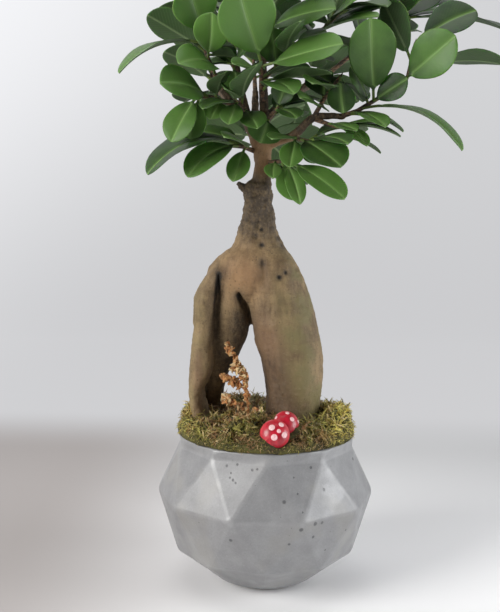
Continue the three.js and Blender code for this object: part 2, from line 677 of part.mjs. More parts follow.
show('pot', makePot(), 0xa9aaab, 0.55);
show('soil', largest(solid(lathe([...soilWall, ...soilTop], 18)).subtract(trunkRoom)), 0x2e2118, 0.95);
show('moss', moss, 0x7a7a2c, 0.95);
show('trunk', trunk, 0x7d6a4e, 0.8);
show('dried_sprig', largest(sprig), 0xb0753c, 0.9);
Object.keys(toadstools).forEach((name) => {
  show(`toadstool_${name}_cap`, caps[name], 0xc81f2c, 0.35);
  show(`toadstool_${name}_stem`, stems[name], 0xe9e2d0, 0.7);
});

const twigRooms = Object.values(shoots).map((shoot) => makeTwig(shoot.twig, clearance));
const obstacles = [trunk, sprig];
Object.entries(shoots).forEach(([name, shoot], i) => {
  const otherTwigs = twigRooms.filter((_, k) => k !== i);
  const spray = makeShoot(shoot, [...obstacles, ...otherTwigs], trunkRoom);
  obstacles.push(spray);
  show(`spray_${name}`, spray, 0x3f7331, 0.4);
});

export default group;
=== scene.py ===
"""Looks of a ficus ginseng bonsai in a faceted concrete pot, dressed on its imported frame.

The file is laid out as a Blender add-on and is run as a script.
Tables and sizes are in millimetres, in the frame of the part: +Z up, the front towards -Y.
"""

import math

import bmesh
import bpy
import numpy as np
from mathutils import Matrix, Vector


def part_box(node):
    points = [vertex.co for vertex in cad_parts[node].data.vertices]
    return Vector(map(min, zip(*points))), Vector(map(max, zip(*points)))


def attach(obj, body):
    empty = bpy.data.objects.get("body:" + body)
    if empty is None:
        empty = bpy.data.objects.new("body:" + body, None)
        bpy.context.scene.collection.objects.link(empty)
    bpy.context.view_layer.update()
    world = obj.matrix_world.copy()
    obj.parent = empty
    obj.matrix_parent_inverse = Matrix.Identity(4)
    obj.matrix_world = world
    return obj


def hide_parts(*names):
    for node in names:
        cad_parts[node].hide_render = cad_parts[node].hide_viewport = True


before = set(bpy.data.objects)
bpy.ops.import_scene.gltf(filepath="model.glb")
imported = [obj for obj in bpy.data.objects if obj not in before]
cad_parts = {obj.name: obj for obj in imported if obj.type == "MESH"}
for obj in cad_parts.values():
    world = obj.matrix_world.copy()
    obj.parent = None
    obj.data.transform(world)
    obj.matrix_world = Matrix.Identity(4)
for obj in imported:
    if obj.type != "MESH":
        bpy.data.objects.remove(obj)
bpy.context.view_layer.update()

import openvdb
from bpy.props import FloatProperty, FloatVectorProperty, IntProperty, PointerProperty
from mathutils import Matrix, Vector, noise

bl_info = {
    "name": "Ginseng ficus bonsai",
    "version": (1, 0, 0),
    "blender": (4, 5, 0),
    "location": "3D View > Sidebar > Bonsai",
    "description": "Builds a ginseng ficus bonsai with its faceted pot, moss and toadstools",
    "category": "Add Mesh",
}

MM = 0.001

# Trunk: a row is an oval ring x, y, z, half width, half depth
BODY = [
    (-7, 0, 236, 7.5, 7.5), (-6.5, 0, 225, 8.7, 8.5), (-6.4, 0, 216, 9.9, 9.5), (-7, 0, 208, 12, 11),
    (-6.5, 0, 201, 15.5, 13), (-6.5, 0, 195, 19.5, 15), (-8, 0, 186, 25.5, 16.5), (-9.5, 1, 178, 27, 15),
    (-10, 4, 168, 20, 10.5), (-10.5, 6, 158, 10, 7),
]
RIGHT_ROOT = [
    (-1, 0, 199, 7, 10), (2, -1, 192, 12, 14), (4, -2, 183, 15.2, 16), (6, -2, 170, 18.4, 17.5),
    (9.3, -2, 156, 19.2, 18.5), (13.4, -2, 141, 18.6, 19), (15.7, -2, 127, 17.6, 18.5),
    (15.9, -2, 114, 16.6, 17), (15.2, -1, 98, 15.2, 15), (14, 0, 78, 12, 12), (12, 1, 58, 8, 8),
    (10, 2, 38, 3.5, 3.5),
]
LEFT_ROOT = [
    (-18, -1, 192, 5, 9), (-25.2, -2, 185.5, 6.4, 10), (-32.2, -3, 179, 6.2, 10), (-36.4, -4, 171, 6.2, 10),
    (-37.6, -4, 161, 6, 9.5), (-37.4, -4, 153, 5.6, 9), (-38.4, -4, 142, 6.6, 9.5),
    (-39.2, -4, 128, 7.2, 10), (-41.5, -3, 117, 4.6, 9.5), (-41, -2, 108, 5, 9.5),
    (-38.5, -1, 97, 6.5, 9.5), (-31, 0, 78, 7, 8), (-26, 1, 58, 5, 6), (-21, 2, 40, 2.5, 2.5),
]
MIDDLE_ROOT = [
    (-18, 0, 190, 9, 11), (-20.5, 0, 176, 9.5, 11.5), (-21.5, 2, 162, 10.5, 11), (-22.5, 5, 151, 11, 10.5),
    (-25.8, 8, 139, 9.6, 10), (-30.5, 11, 127, 7.8, 9.5), (-33, 14, 114, 7.2, 9), (-33, 16, 98, 7, 8.5),
    (-28, 16, 76, 5.5, 6.5), (-24, 15, 56, 2.5, 2.5),
]
STUB = [(-10, -1, 231, 3, 3), (-15.5, -2, 235, 2.6, 2.6), (-18, -2.5, 237, 1.4, 1.4)]
# Clefts cut into the trunk; bark_values paints shade along them, near black deep in the slot
CLEFTS = [
    [(-28.8, -18, 185, 0.8, 8), (-29.6, -18, 176, 1.4, 11), (-30.2, -17, 166, 1.7, 12),
     (-30.4, -17, 150, 1.8, 12), (-29.2, -17, 139, 2.3, 12), (-27, -16, 129, 3.2, 12)],
    [(-17.3, -14, 172.5, 1.2, 5), (-14.5, -10, 167, 1.8, 8), (-12.2, -7, 161, 2.2, 9),
     (-10.6, -5, 154.8, 2.4, 9), (-9.8, -4, 148, 2.4, 8)],
]
# The limbs, each with the size of the fillet that joins it, and the fillets of branches and clefts
LIMBS = [(BODY, 2.0), (RIGHT_ROOT, 1.6), (LEFT_ROOT, 1.2), (MIDDLE_ROOT, 1.5), (STUB, 1.2)]
BRANCH_FILLET = 1.6
CLEFT_FILLET = 0.8
# Brown branches: x, y, z and radius
BRANCHES = [
    [(-7, 0, 228, 6), (-5, 0, 244, 4.4), (-5.5, 0, 252, 3.6), (-8.5, 1, 261, 3.2), (-12, 2, 271, 2.9),
     (-16, 3, 284, 2.6), (-21, 6, 307, 2.1)],
    [(-13, 2, 274, 2.6), (-22, -4, 282, 2.2), (-28, -8, 290, 1.9)],
    [(-5, -1, 230, 6), (-4, -2, 248, 4.6), (-3, -2, 261, 3.5), (-4, 1, 280, 2.8), (-5, 4, 303, 2.3),
     (-5, 5, 317, 2)],
    [(-3, -2, 259, 3), (5, -6, 262, 2.7), (13, -8, 265, 2.4), (23, -9, 274, 2.2), (32, -7, 276, 2),
     (41, -5, 276, 1.8)],
    [(-6, 1, 252, 3.4), (-8, 16, 268, 2.9), (-9, 30, 282, 2.4), (-9, 42, 294, 2)],
    [(-12, 2, 269, 2.8), (-18, 16, 280, 2.4), (-25, 32, 288, 2.1), (-31, 48, 294, 1.8)],
    [(-4, 0, 273, 2.8), (6, 14, 284, 2.4), (17, 28, 293, 2.1), (28, 40, 300, 1.8)],
]
# Ridges and grooves of the bark: a line x, y, z, its half width and how far it stands out
BARK_LINES = [
    ([(4, -19, 156), (5.5, -20, 142), (8, -20, 128), (12, -19, 112), (14, -17, 98)], 3.2, 0.9),
    ([(-0.5, -19, 150), (1.5, -19, 138), (4.5, -19, 124), (7, -18, 110)], 3.0, -0.8),
    ([(-5, -12, 206), (-4.5, -15, 197), (-3, -16.5, 188), (-2.5, -17, 180)], 1.8, -0.8),
]
# Dents of the bark: x, y, z, reach and depth; each dent is also painted with shade, near black in the smaller
# ones
BARK_DENTS = [
    (5.9, -17.6, 184.2, 1.6, 1.6), (9.5, -15.8, 186.8, 1.2, 1.2), (-7.0, -10.5, 213.9, 1.8, 1.6),
    (-4.6, -10.5, 211.0, 1.5, 1.3), (-7.9, -11.5, 207.7, 1.9, 1.5), (-4.2, -12.5, 202.2, 1.6, 0.9),
    (-4.0, -15.5, 192.0, 2.0, 0.7), (5.2, -3.0, 205.9, 2.2, 1.2), (7.6, -4.1, 201.3, 2.4, 1.3),
]
# Dents with a smaller reach than this are painted near black, as shade in a hole
DEEP_DENT_REACH = 1.7
# Tinted and shaded parts of the bark: the tint, its strength, and rises along x, z or away from the side of
# the arch, each with the places where it is 0 and 1. "dark" makes the neck darker and is painted shade on the
# middle root under the fork and on the branches inside the crown; "red" is reddish bark, mixed in darker as
# painted shade inside the arch and on the left root's lower part
BARK_ZONES = [
    ("dark", 0.9, [("z", 200, 216), ("z", 247, 236)]),
    ("dark", 0.8, [("x", -27, -17), ("x", -7, -11), ("z", 172, 160)]),
    ("dark", 0.5, [("arch", 12, 2), ("x", -14, -6), ("z", 150, 130)]),
    ("dark", 0.9, [("x", -30, -24), ("x", -14, -19), ("z", 150, 136)]),
    ("dark", 0.95, [("z", 258, 270)]),
    ("red", 1.0, [("arch", 16, 4), ("x", -14, -6), ("z", 172, 150)]),
    ("red", 0.8, [("x", -44, -41), ("x", -36, -39), ("z", 146, 134)]),
    ("green", 0.9, [("x", -2, 14), ("z", 208, 190)]),
    ("green", 0.4, [("x", -34, -39)]),
]
ARCH_SLANT = 0.27
ARCH_MIDDLE_HEIGHT = 140
# Tan patch at the left shoulder: its middle x, z and its reach across and up
SHOULDER = (-16, 184, 13, 15)

# Leaves: a stalk, then a blade that is widest past its middle and folded a little along its rib
STALK_SHARE = 0.14
STALK_RADIUS = 0.8
WIDEST_SHARE = 0.6
RIB_FOLD = 0.16
LEAF_WIDTH = 24
LEAF_LENGTH = 44
GOLDEN_ANGLE = 137.5
CLASH_SHIFTS = (0, -6, 6, -12, 12, -18, 18, -24, 24)
TIP_TOLERANCE = 0.05
TWIG_ROOT_RADIUS = 1.5
TWIG_TIP_RADIUS = 0.9
TWIG_SIDES = 10
TWIG_HEEL = 0.75
TWIG_BUD = 3.5

# Leafy shoots: the twig's middle line, the leaves placed one by one, how many more follow the rule, the
# turn of the first of those, and their length as a share of the usual.
# A leaf is the share along the twig, tip x, y, z, width, facing and arch.
SHOOTS = {
    "left_top": ([(-27, -7, 289), (-34, -12, 301), (-38, -14, 312), (-39, -15, 322)], [
        (0.75, -83, -34, 295, 24, 5, 0.14), (0.6, -69, -22, 328, 23, -36, 0.06),
        (0.85, -47, -24, 343, 26, 62, 0.04), (0.5, -33, -42, 326, 19, 78, 0.03),
        (0.25, -50, -46, 299, 22, 62, 0.16), (0.55, -20, -34, 307, 18, -12, 0.04),
        (0.9, -60, 12, 322, 22, 20, 0.06), (0.6, -26, 14, 318, 20, 30, 0.06),
    ], 0, 0, 1),
    "left_mid": ([(-22, -4, 282), (-34, -14, 285), (-42, -20, 285)], [
        (0.6, -60, -42, 289, 25, 60, 0.08), (0.95, -55, -30, 259, 18, 46, 0.1),
        (0.9, -45, -30, 261, 17, 62, 0.06), (0.4, -26, -32, 296, 16, 40, 0.06),
        (0.8, -50, 4, 284, 22, 14, 0.1), (0.3, -34, -24, 272, 15, 48, 0.06),
    ], 0, 0, 1),
    "left_low": ([(-9, 1, 256), (-16, -9, 258), (-23, -15, 258)], [
        (0.45, -68, -42, 241, 30, 16, 0.2), (0.6, -46, -30, 240, 21, 34, 0.16),
        (0.3, -43, -22, 266, 21, 26, 0.08), (0.4, -21, -28, 238, 13, 62, 0.06),
        (0.7, -50, 4, 262, 22, 10, 0.12), (0.2, -26, -30, 262, 17, 40, 0.06),
    ], 0, 0, 1),
    "front_center": ([(-4, 2, 284), (-6, -11, 291), (-6, -18, 297), (-6, -23, 302)], [
        (1, -19, -46, 339, 32, 82, 0.03), (0.95, 37, -40, 311, 27, 44, 0),
        (0.5, 32, -30, 297, 22, -6, 0.02), (0.25, 11, -44, 284, 20, 25, 0.14),
        (0.7, -22, -34, 301, 15, 40, 0.06), (0.6, 18, -20, 304, 18, 10, 0.06),
    ], 0, 0, 1),
    "top_center": ([(-5, 5, 316), (-4, 4, 330), (-3, 4, 346)], [
        (0.3, 34, -24, 332, 28, 48, 0.06),
    ], 9, 20, 1),
    "top_left": ([(-21, 6, 306), (-24, 14, 321), (-27, 20, 338)], [], 8, 75, 1),
    "right_long": ([
        (40, -5, 276), (49, -7, 279), (57, -8, 284), (67, -10, 290), (76, -12, 297), (80, -11, 316),
    ], [
        (0.42, 52, -32, 326, 27, 76, 0.03), (0.74, 97.5, -35, 317, 25, 76, 0.03),
        (0.9, 63, 4, 343, 20, -38, 0.04), (1, 113, -14, 334, 26, 46, 0.06),
        (0.85, 133, 0, 307, 24, -12, 0.06), (0.25, 103, -38, 256, 22, 3, 0.16),
        (0.4, 75, -20, 296, 15, 74, 0.03), (0.12, 61, -38, 268, 16, 14, 0.08),
        (0.08, 74, -18, 267, 15, 5, 0.1), (0.35, 44, -12, 303, 20, 30, 0.06),
    ], 0, 0, 1),
    "right_mid": ([(23, -8, 273), (29, -13, 284), (38, -15, 297)], [
        (1, 39, -27, 276, 16, 84, 0.02), (0.7, 21, -42, 290, 20, 40, 0.06),
        (0.35, 15, -36, 283, 17, 55, 0.04), (0.5, 31, -4, 298, 22, 10, 0.08),
        (0.8, 22, -22, 301, 18, 24, 0.06), (0.9, 54, -8, 286, 18, 14, 0.08),
        (0.4, 30, -34, 280, 14, 34, 0.06),
    ], 0, 0, 1),
    "right_low": ([(12, -8, 264), (17, -14, 262), (22, -18, 261)], [
        (0.4, 37, -44, 246, 25, 40, 0.06), (1, 40, -30, 258, 20, 24, 0.08),
        (0.9, 62, -16, 255, 16, 3, 0.14), (0.3, 0, -34, 261, 16, 22, 0.04), (0.9, 56, -2, 269, 20, 6, 0.1),
        (0.7, 27, -34, 249, 16, 50, 0.06), (0.2, 10, -26, 246, 14, 48, 0.05),
    ], 0, 0, 1),
    "neck_right": ([(-3, -3, 249), (4, -9, 250), (10, -13, 249)], [
        (1, 40, -38, 229, 20, 34, 0.08), (0.7, 14, -22, 228, 16, 50, 0.06),
        (0.9, 16, -36, 226, 11, 54, 0.08), (0.4, 1, -30, 240, 10, 56, 0.04),
        (0.8, 22, -18, 238, 15, 36, 0.06), (0.3, 10, -8, 236, 14, 30, 0.06),
    ], 0, 0, 1),
    "right_back": ([(28, 40, 299), (46, 40, 314), (64, 38, 328), (78, 36, 338)], [
        (1, 145, 20, 327, 26, 12, 0.08), (0.9, 103, 36, 357, 26, 40, 0.06), (1, 138, 44, 358, 26, 25, 0.06),
    ], 6, 10, 1),
    "right_top": ([(-4, 4, 308), (15, 8, 318), (31, 10, 328), (44, 12, 342)], [
        (0.9, 64, 6, 336, 24, 18, 0.08), (0.7, 52, -12, 341, 26, 52, 0.05),
        (0.6, 61, -10, 337, 16, 30, 0.04), (0.55, 57, -20, 328, 18, 34, 0.05),
    ], 7, 30, 1),
    "inner_left": ([(-13, 0, 276), (-16, -10, 281), (-20, -18, 283)], [
        (0.6, -9, -32, 298, 20, 52, 0.06), (0.8, -38, -30, 277, 18, 12, 0.08),
        (0.3, -8, -28, 267, 16, 42, 0.06), (1, -26, -42, 288, 15, 44, 0.08),
        (0.9, -24, -28, 269, 13, 40, 0.05),
    ], 0, 0, 1),
    "inner_right": ([(-3, 0, 272), (0, -10, 276), (3, -16, 279)], [
        (0.3, -6, -14, 260, 20, 95, 0.04), (0.9, 13, -36, 272, 15, 22, 0.06),
        (0.6, 14, -4, 289, 20, 18, 0.08), (0.5, 19, 20, 277, 20, 8, 0.08), (1, 8, -30, 292, 14, 50, 0.05),
        (0.9, 28, -8, 286, 16, 18, 0.06),
    ], 0, 0, 1),
    "right_fan": ([(25, -9, 274), (32, -14, 271), (38, -17, 269)], [
        (1, 72, -22, 264, 12, 12, 0.1), (0.8, 52, -28, 258, 12, 16, 0.08),
        (0.9, 62, -30, 271, 11, 14, 0.06), (0.5, 46, -34, 266, 12, 24, 0.05),
    ], 0, 0, 1),
    "stem_left": ([(-17, 4, 288), (-20, -4, 297), (-22, -9, 304)], [
        (1, -42, -18, 303, 18, 30, 0.08), (0.9, -12, -26, 314, 17, 44, 0.05),
        (0.6, -4, -24, 301, 17, 26, 0.06), (0.8, -34, -2, 317, 17, 20, 0.06),
        (0.4, -35, -16, 289, 14, 24, 0.06), (0.7, -32, 16, 306, 18, 6, 0.06),
        (0.9, -20, -20, 286, 15, 60, 0.05),
    ], 0, 0, 1),
    "stem_center": ([(-5, 4, 297), (2, -4, 303), (8, -9, 308)], [
        (1, 30, -14, 322, 20, 26, 0.06), (0.9, 14, -30, 322, 18, 50, 0.05), (0.8, 36, 2, 308, 20, 10, 0.08),
        (0.5, -2, -22, 322, 18, 70, 0.04), (1, 20, -34, 304, 17, 12, 0.06),
        (0.6, 10, 20, 318, 20, 10, 0.08), (0.2, 12, -14, 284, 16, 40, 0.05),
    ], 0, 0, 1),
    "back": ([(-9, 41, 293), (-10, 50, 308), (-11, 54, 323)], [], 9, 0, 1),
    "back_left": ([(-31, 47, 293), (-36, 57, 302), (-39, 62, 314)], [], 8, 100, 0.8),
    "back_right": ([(16, 27, 292), (21, 42, 298), (26, 56, 306)], [], 8, 80, 1),
    "back_low": ([(-8, 10, 262), (-9, 24, 266), (-11, 36, 269)], [], 7, 30, 1),
}

# Painted shade of the leaves: how bright the leaves of some shoots are, where the others have 1, and which
# leaves lie in shade and are painted dark
SHOOT_LIGHT = {
    "inner_left": 0.35, "inner_right": 0.35, "stem_left": 0.35, "stem_center": 0.35, "right_low": 0.45,
    "right_mid": 0.45, "right_long": 0.6,
}
SHADED_LEAVES = {
    "left_low": (0,), "right_mid": (0,), "right_low": (1,), "right_long": (3, 6), "left_top": (1,),
}

# Moss cushion: the part's rings of radius and height, and its tufts x, y, reach, rise
RIM_RADIUS = 52.3
RIM_INNER_RADIUS = 46
MOSS_UNDER = [(0, 92.3), (20, 91.3), (38, 88.3), (44.7, 83.5), (45.3, 90.5), (52.6, 90.5)]
MOSS_RADII = (0, 12, 24, 34, 42, 48, 51.5, 52.6)
MOSS_CROWN = (101, 101.5, 101, 100, 99, 97.5, 95, 92)
MOSS_LUMP = 1.7
MOSS_SINK = 1.2
MOSS_SECTORS = 150
MOSS_RINGS = 60
MOSS_FOOT = 91.5
MOSS_TUFTS = [(43, -4, 11, 11), (-47, -2, 9, 7), (-14, -30, 12, 4), (20, 34, 16, 6), (-24, 36, 12, 4)]
# Moss growths: name, seed, share of the shoots, share of their length, how upright they stand
MOSS_GROWTHS = [("moss_shoots", 3, 1.0, 1.0, 0.3), ("moss_tall_shoots", 8, 0.25, 1.5, 0.5)]

# Toadstools: cap centre, the way the cap looks, cap radius, foot, and the dots as share x, share y, radius
CAP_PROFILE = [
    (0, -0.14), (0.55, -0.17), (0.86, -0.23), (1, -0.07), (0.94, 0.19), (0.72, 0.43), (0.4, 0.59), (0, 0.65),
]
TOADSTOOLS = {
    "front": ((4, -45, 99.5), (0, -0.93, 0.37), 8.3, (4.5, -35, 92.5), [
        (-0.21, 0.38, 1.75), (0.42, 0.6, 1.6), (0.26, 0.15, 1.2), (-0.05, -0.27, 1.8), (0.62, -0.1, 1.65),
    ]),
    "rear": ((10.8, -34, 103), (0.3, -0.8, 0.5), 7.4, (10, -25, 94), [
        (-0.82, 0.48, 1.0), (0.05, 0.7, 1.2), (0.27, 0.13, 1.4), (0.86, 0.0, 1.1),
    ]),
}
TOADSTOOL_STEM_RADIUS = 2.2
CAP_TO_STEM = 2.7
DOT_RISE = 0.3
SLOPE_STEP = 0.03

# Dried sprig: stem lines x, y, z
SPRIG_STEMS = [
    [(-12, -17, 93), (-11, -17, 106), (-12, -16, 116), (-14, -15, 126), (-19, -15, 136), (-24, -15, 145)],
    [(-12, -16, 118), (-18, -15, 122), (-26, -15, 126)],
    [(-13, -16, 121), (-15, -15, 129), (-21, -15, 130)],
    [(-11, -17, 104), (-18, -17, 110), (-25, -18, 113)],
    [(-11, -17, 103), (-7, -18, 106), (-3, -19, 107)],
]

# Pot: angles in degrees below which faces are flat and above which edges are worn, the steps of a worn
# edge, and the face areas in square millimetres between which wear fades in
FLAT_ANGLE = 0.4
EDGE_ANGLE = 11
EDGE_STEPS = 4
WORN_FACE_AREAS = (40, 4)
# Air pits of the concrete: x, y, z and radius
CONCRETE_PITS = [
    (-22.1, -46.9, 81.9, 0.65), (-16.3, -48.2, 83.1, 0.6), (-19.7, -49.4, 78.6, 0.5),
    (-18.5, -51.5, 75.3, 0.65), (-17.1, -52.6, 74.0, 0.5), (-20.3, -50.4, 76.3, 0.5),
    (-8.0, -51.9, 81.2, 0.65), (-5.3, -52.4, 81.8, 0.55),
    (24.2, -46.5, 81.4, 0.7), (31.6, -47.9, 69.2, 0.75), (9.4, -58.4, 65.5, 0.85),
    (18.8, -60.8, 50.8, 1.0), (26.6, -56.7, 52.8, 1.0), (30.5, -53.8, 52.5, 0.75),
    (25.7, -55.0, 44.8, 0.8), (12.5, -58.9, 41.8, 0.65), (-19.4, -57.2, 43.1, 0.85),
    (-58.9, -10.2, 43.1, 0.7), (50.5, -20.3, 79.2, 0.85), (45.1, -40.6, 43.7, 0.5),
    (16.7, -55.2, 69.2, 0.5), (14.6, -51.7, 77.2, 0.45), (19.4, -59.0, 60.0, 0.45),
    (33.2, -46.4, 34.1, 0.5),
]

# Middle of the dry orange-brown patch of moss at the foot of the sprig
DRY_PATCH = (-16, -20, 102)

# Stage: how far the floor reaches sideways and forwards, and the wall behind with the bend at its foot
FLOOR_REACH = 4000
FLOOR_FRONT = -4000
WALL_PLACE = 1400
WALL_HEIGHT = 3000
WALL_BEND = 500
WALL_BEND_ROWS = 12
# Where the backdrop's colours change, in metres: behind the part, all round it, to its left and up the wall.
# The floor is painted darker towards its back and its left as shade; behind the part the backdrop glows with
# painted light, brighter up the wall and at the upper left
GLOW_BEHIND = (0.27, 0.43)
GLOW_AROUND = (0.42, 0.75)
FLOOR_FADE_BACK = (0.0, 0.3)
FLOOR_FADE_LEFT = (0.03, -0.17)
WALL_FADE_UP = (-0.27, 0.64)
WALL_CORNER_SLANT = 0.9
WALL_CORNER_FADE = (0.16, 1.36)
# Soft round lights: name, place, the spot that each faces, width, the setting of its power, colour
LIGHTS = [
    ("left_light", (-778, -505, 435), (0, 0, 120), 620, "key_power", (1.0, 0.99, 0.97)),
    ("right_light", (949, -202, 302), (0, 0, 120), 600, "fill_power", (0.97, 0.985, 1.0)),
    ("top_light", (-80, 40, 950), (0, 0, 100), 700, "top_power", (1.0, 1.0, 1.0)),
]

# Camera: place, pitch and roll in degrees, focal length and sensor
CAMERA_PLACE = (-10.6, -550, 231.1)
CAMERA_PITCH = -6.81
CAMERA_ROLL = 0.77
CAMERA_LENS = 55.04
CAMERA_SENSOR = 36


# Numbers and points

def unit(vector):
    return vector / np.linalg.norm(vector)


def smooth_step(low, high, values):
    share = np.clip((values - low) / (high - low), 0, 1)
    return share * share * (3 - 2 * share)


def turns_round(count):
    """Angles at even steps round a circle."""
    return np.linspace(0, 2 * math.pi, count, endpoint=False)


def bell(distance, reach):
    """1 at no distance, falling off softly."""
    return np.exp(-(distance / reach) ** 2)


def roughness_at(points, size, offset, octaves):
    """Fractal noise from about -1 to 1 at each point, with lumps of the given size."""
    return np.array([
        noise.fractal(Vector(point) / size + Vector((offset, offset, offset)), 0.8, 2.0, octaves)
        for point in points
    ])


def smooth_rows(rows, steps):
    """Rows of a limb with more rows between them, on a curve through the given ones."""
    rows = np.array(rows, dtype=float)
    padded = np.vstack([2 * rows[0] - rows[1], rows, 2 * rows[-1] - rows[-2]])
    result = []
    for k in range(len(rows) - 1):
        before, here, there, after = padded[k:k + 4]
        for share in np.arange(steps) / steps:
            result.append(0.5 * (
                2 * here + (there - before) * share
                + (2 * before - 5 * here + 4 * there - after) * share ** 2
                + (3 * here - before - 3 * there + after) * share ** 3
            ))
    return np.vstack([result, rows[-1]])


def limb_frames(rows):
    """The middle, the sideways way and the deep way of each ring of a limb."""
    middles = rows[:, :3]
    side = np.array([1.0, 0.0, 0.0])
    sides, deeps = [], []
    for k in range(len(rows)):
        along = unit(middles[min(k + 1, len(rows) - 1)] - middles[max(k - 1, 0)])
        if k == 0 and abs(along[0]) > 0.8:
            side = np.array([0.0, 1.0, 0.0])
        side = unit(side - along * np.dot(side, along))
        sides.append(side)
        deeps.append(np.cross(along, side))
    return middles, np.array(sides), np.array(deeps)


def tube_rings(rows, corners):
    """The middles of a round limb and its rings of points."""
    middles, sides, deeps = limb_frames(rows)
    turns = turns_round(corners)
    rings = [
        middle + (np.outer(np.cos(turns), side) + np.outer(np.sin(turns), deep)) * row[3]
        for middle, side, deep, row in zip(middles, sides, deeps, rows)
    ]
    return middles, rings


# Meshes and pieces

def lofted_faces(ring_count, ring_size, first=0):
    """Faces between rings of points, closed by a point before the first ring and one after the last."""
    ring = np.arange(ring_size)
    turned = (ring + 1) % ring_size
    start = first + 1
    faces = [(first, start + b, start + a) for a, b in zip(ring, turned)]
    for k in range(ring_count - 1):
        low = start + k * ring_size
        high = low + ring_size
        faces += [(low + a, low + b, high + b, high + a) for a, b in zip(ring, turned)]
    last = start + ring_count * ring_size
    faces += [(last, last - ring_size + a, last - ring_size + b) for a, b in zip(ring, turned)]
    return faces


def make_mesh(name, points, faces, values=None, materials=(), face_materials=None):
    """A mesh from points in millimetres, with named values for each point."""
    mesh = bpy.data.meshes.new(name)
    plain_faces = [tuple(int(index) for index in face) for face in faces]
    mesh.from_pydata((np.asarray(points) * MM).tolist(), [], plain_faces)
    for key, numbers in (values or {}).items():
        set_values(mesh, key, numbers)
    for material in materials:
        mesh.materials.append(material)
    if face_materials is not None:
        mesh.polygons.foreach_set("material_index", np.asarray(face_materials, dtype=np.int32))
    mesh.polygons.foreach_set("use_smooth", np.full(len(mesh.polygons), True))
    mesh.update()
    return mesh


def set_values(mesh, key, numbers):
    """A named number for each point, or a named vector where the numbers are in threes."""
    numbers = np.asarray(numbers, dtype=np.float32)
    kind, field = ("FLOAT_VECTOR", "vector") if numbers.ndim == 2 else ("FLOAT", "value")
    mesh.attributes.new(key, kind, "POINT").data.foreach_set(field, numbers.ravel())


def show_mesh(name, mesh):
    piece = bpy.data.objects.new(name, mesh)
    bpy.context.scene.collection.objects.link(piece)
    return piece


def fit_piece(piece, slot, *nodes):
    """Hides the nodes that a finished piece stands for and hangs it on the root body; the slot is not used.
    """
    if nodes:
        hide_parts(*nodes)
    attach(piece, "root")


def bake_modifiers(piece):
    """Turns the piece's modifiers into its plain mesh."""
    graph = bpy.context.evaluated_depsgraph_get()
    finished = piece.evaluated_get(graph)
    mesh = bpy.data.meshes.new_from_object(finished, preserve_all_data_layers=True, depsgraph=graph)
    piece.modifiers.clear()
    piece.data = mesh
    mesh.name = piece.name
    return piece


def grow_nodes(piece, tree, values):
    """Runs a node tree with the given named inputs on a piece and keeps the result."""
    modifier = piece.modifiers.new(tree.name, "NODES")
    modifier.node_group = tree
    items = [item for item in tree.interface.items_tree if item.item_type == "SOCKET"]
    sockets = {item.name: item.identifier for item in items}
    for name, value in values.items():
        modifier[sockets[name]] = value
    return bake_modifiers(piece)


def node_copy(node):
    """A copy of a node's mesh with its doubled points merged."""
    shape = bmesh.new()
    shape.from_mesh(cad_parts[node].data)
    bmesh.ops.remove_doubles(shape, verts=shape.verts, dist=0.01 * MM)
    return shape


# Node graphs

class Value:
    """A number socket that takes part in Python expressions, each of which adds a Math node."""

    def __init__(self, graph, socket):
        self.graph = graph
        self.socket = socket

    def math(self, operation, *others):
        return self.graph.math(operation, self, *others)

    def __add__(self, other):
        return self.math("ADD", other)

    def __sub__(self, other):
        return self.math("SUBTRACT", other)

    def __mul__(self, other):
        return self.math("MULTIPLY", other)

    def __truediv__(self, other):
        return self.math("DIVIDE", other)

    def __rsub__(self, other):
        return self.graph.math("SUBTRACT", other, self)

    __radd__ = __add__
    __rmul__ = __mul__

    def step(self, low, high):
        """0 below low and 1 above high, with a smooth rise between; low may be the larger."""
        node = self.graph.add("ShaderNodeMapRange", {"interpolation_type": "SMOOTHSTEP"},
                              {"Value": self, "From Min": low, "From Max": high})
        return Value(self.graph, node.outputs["Result"])


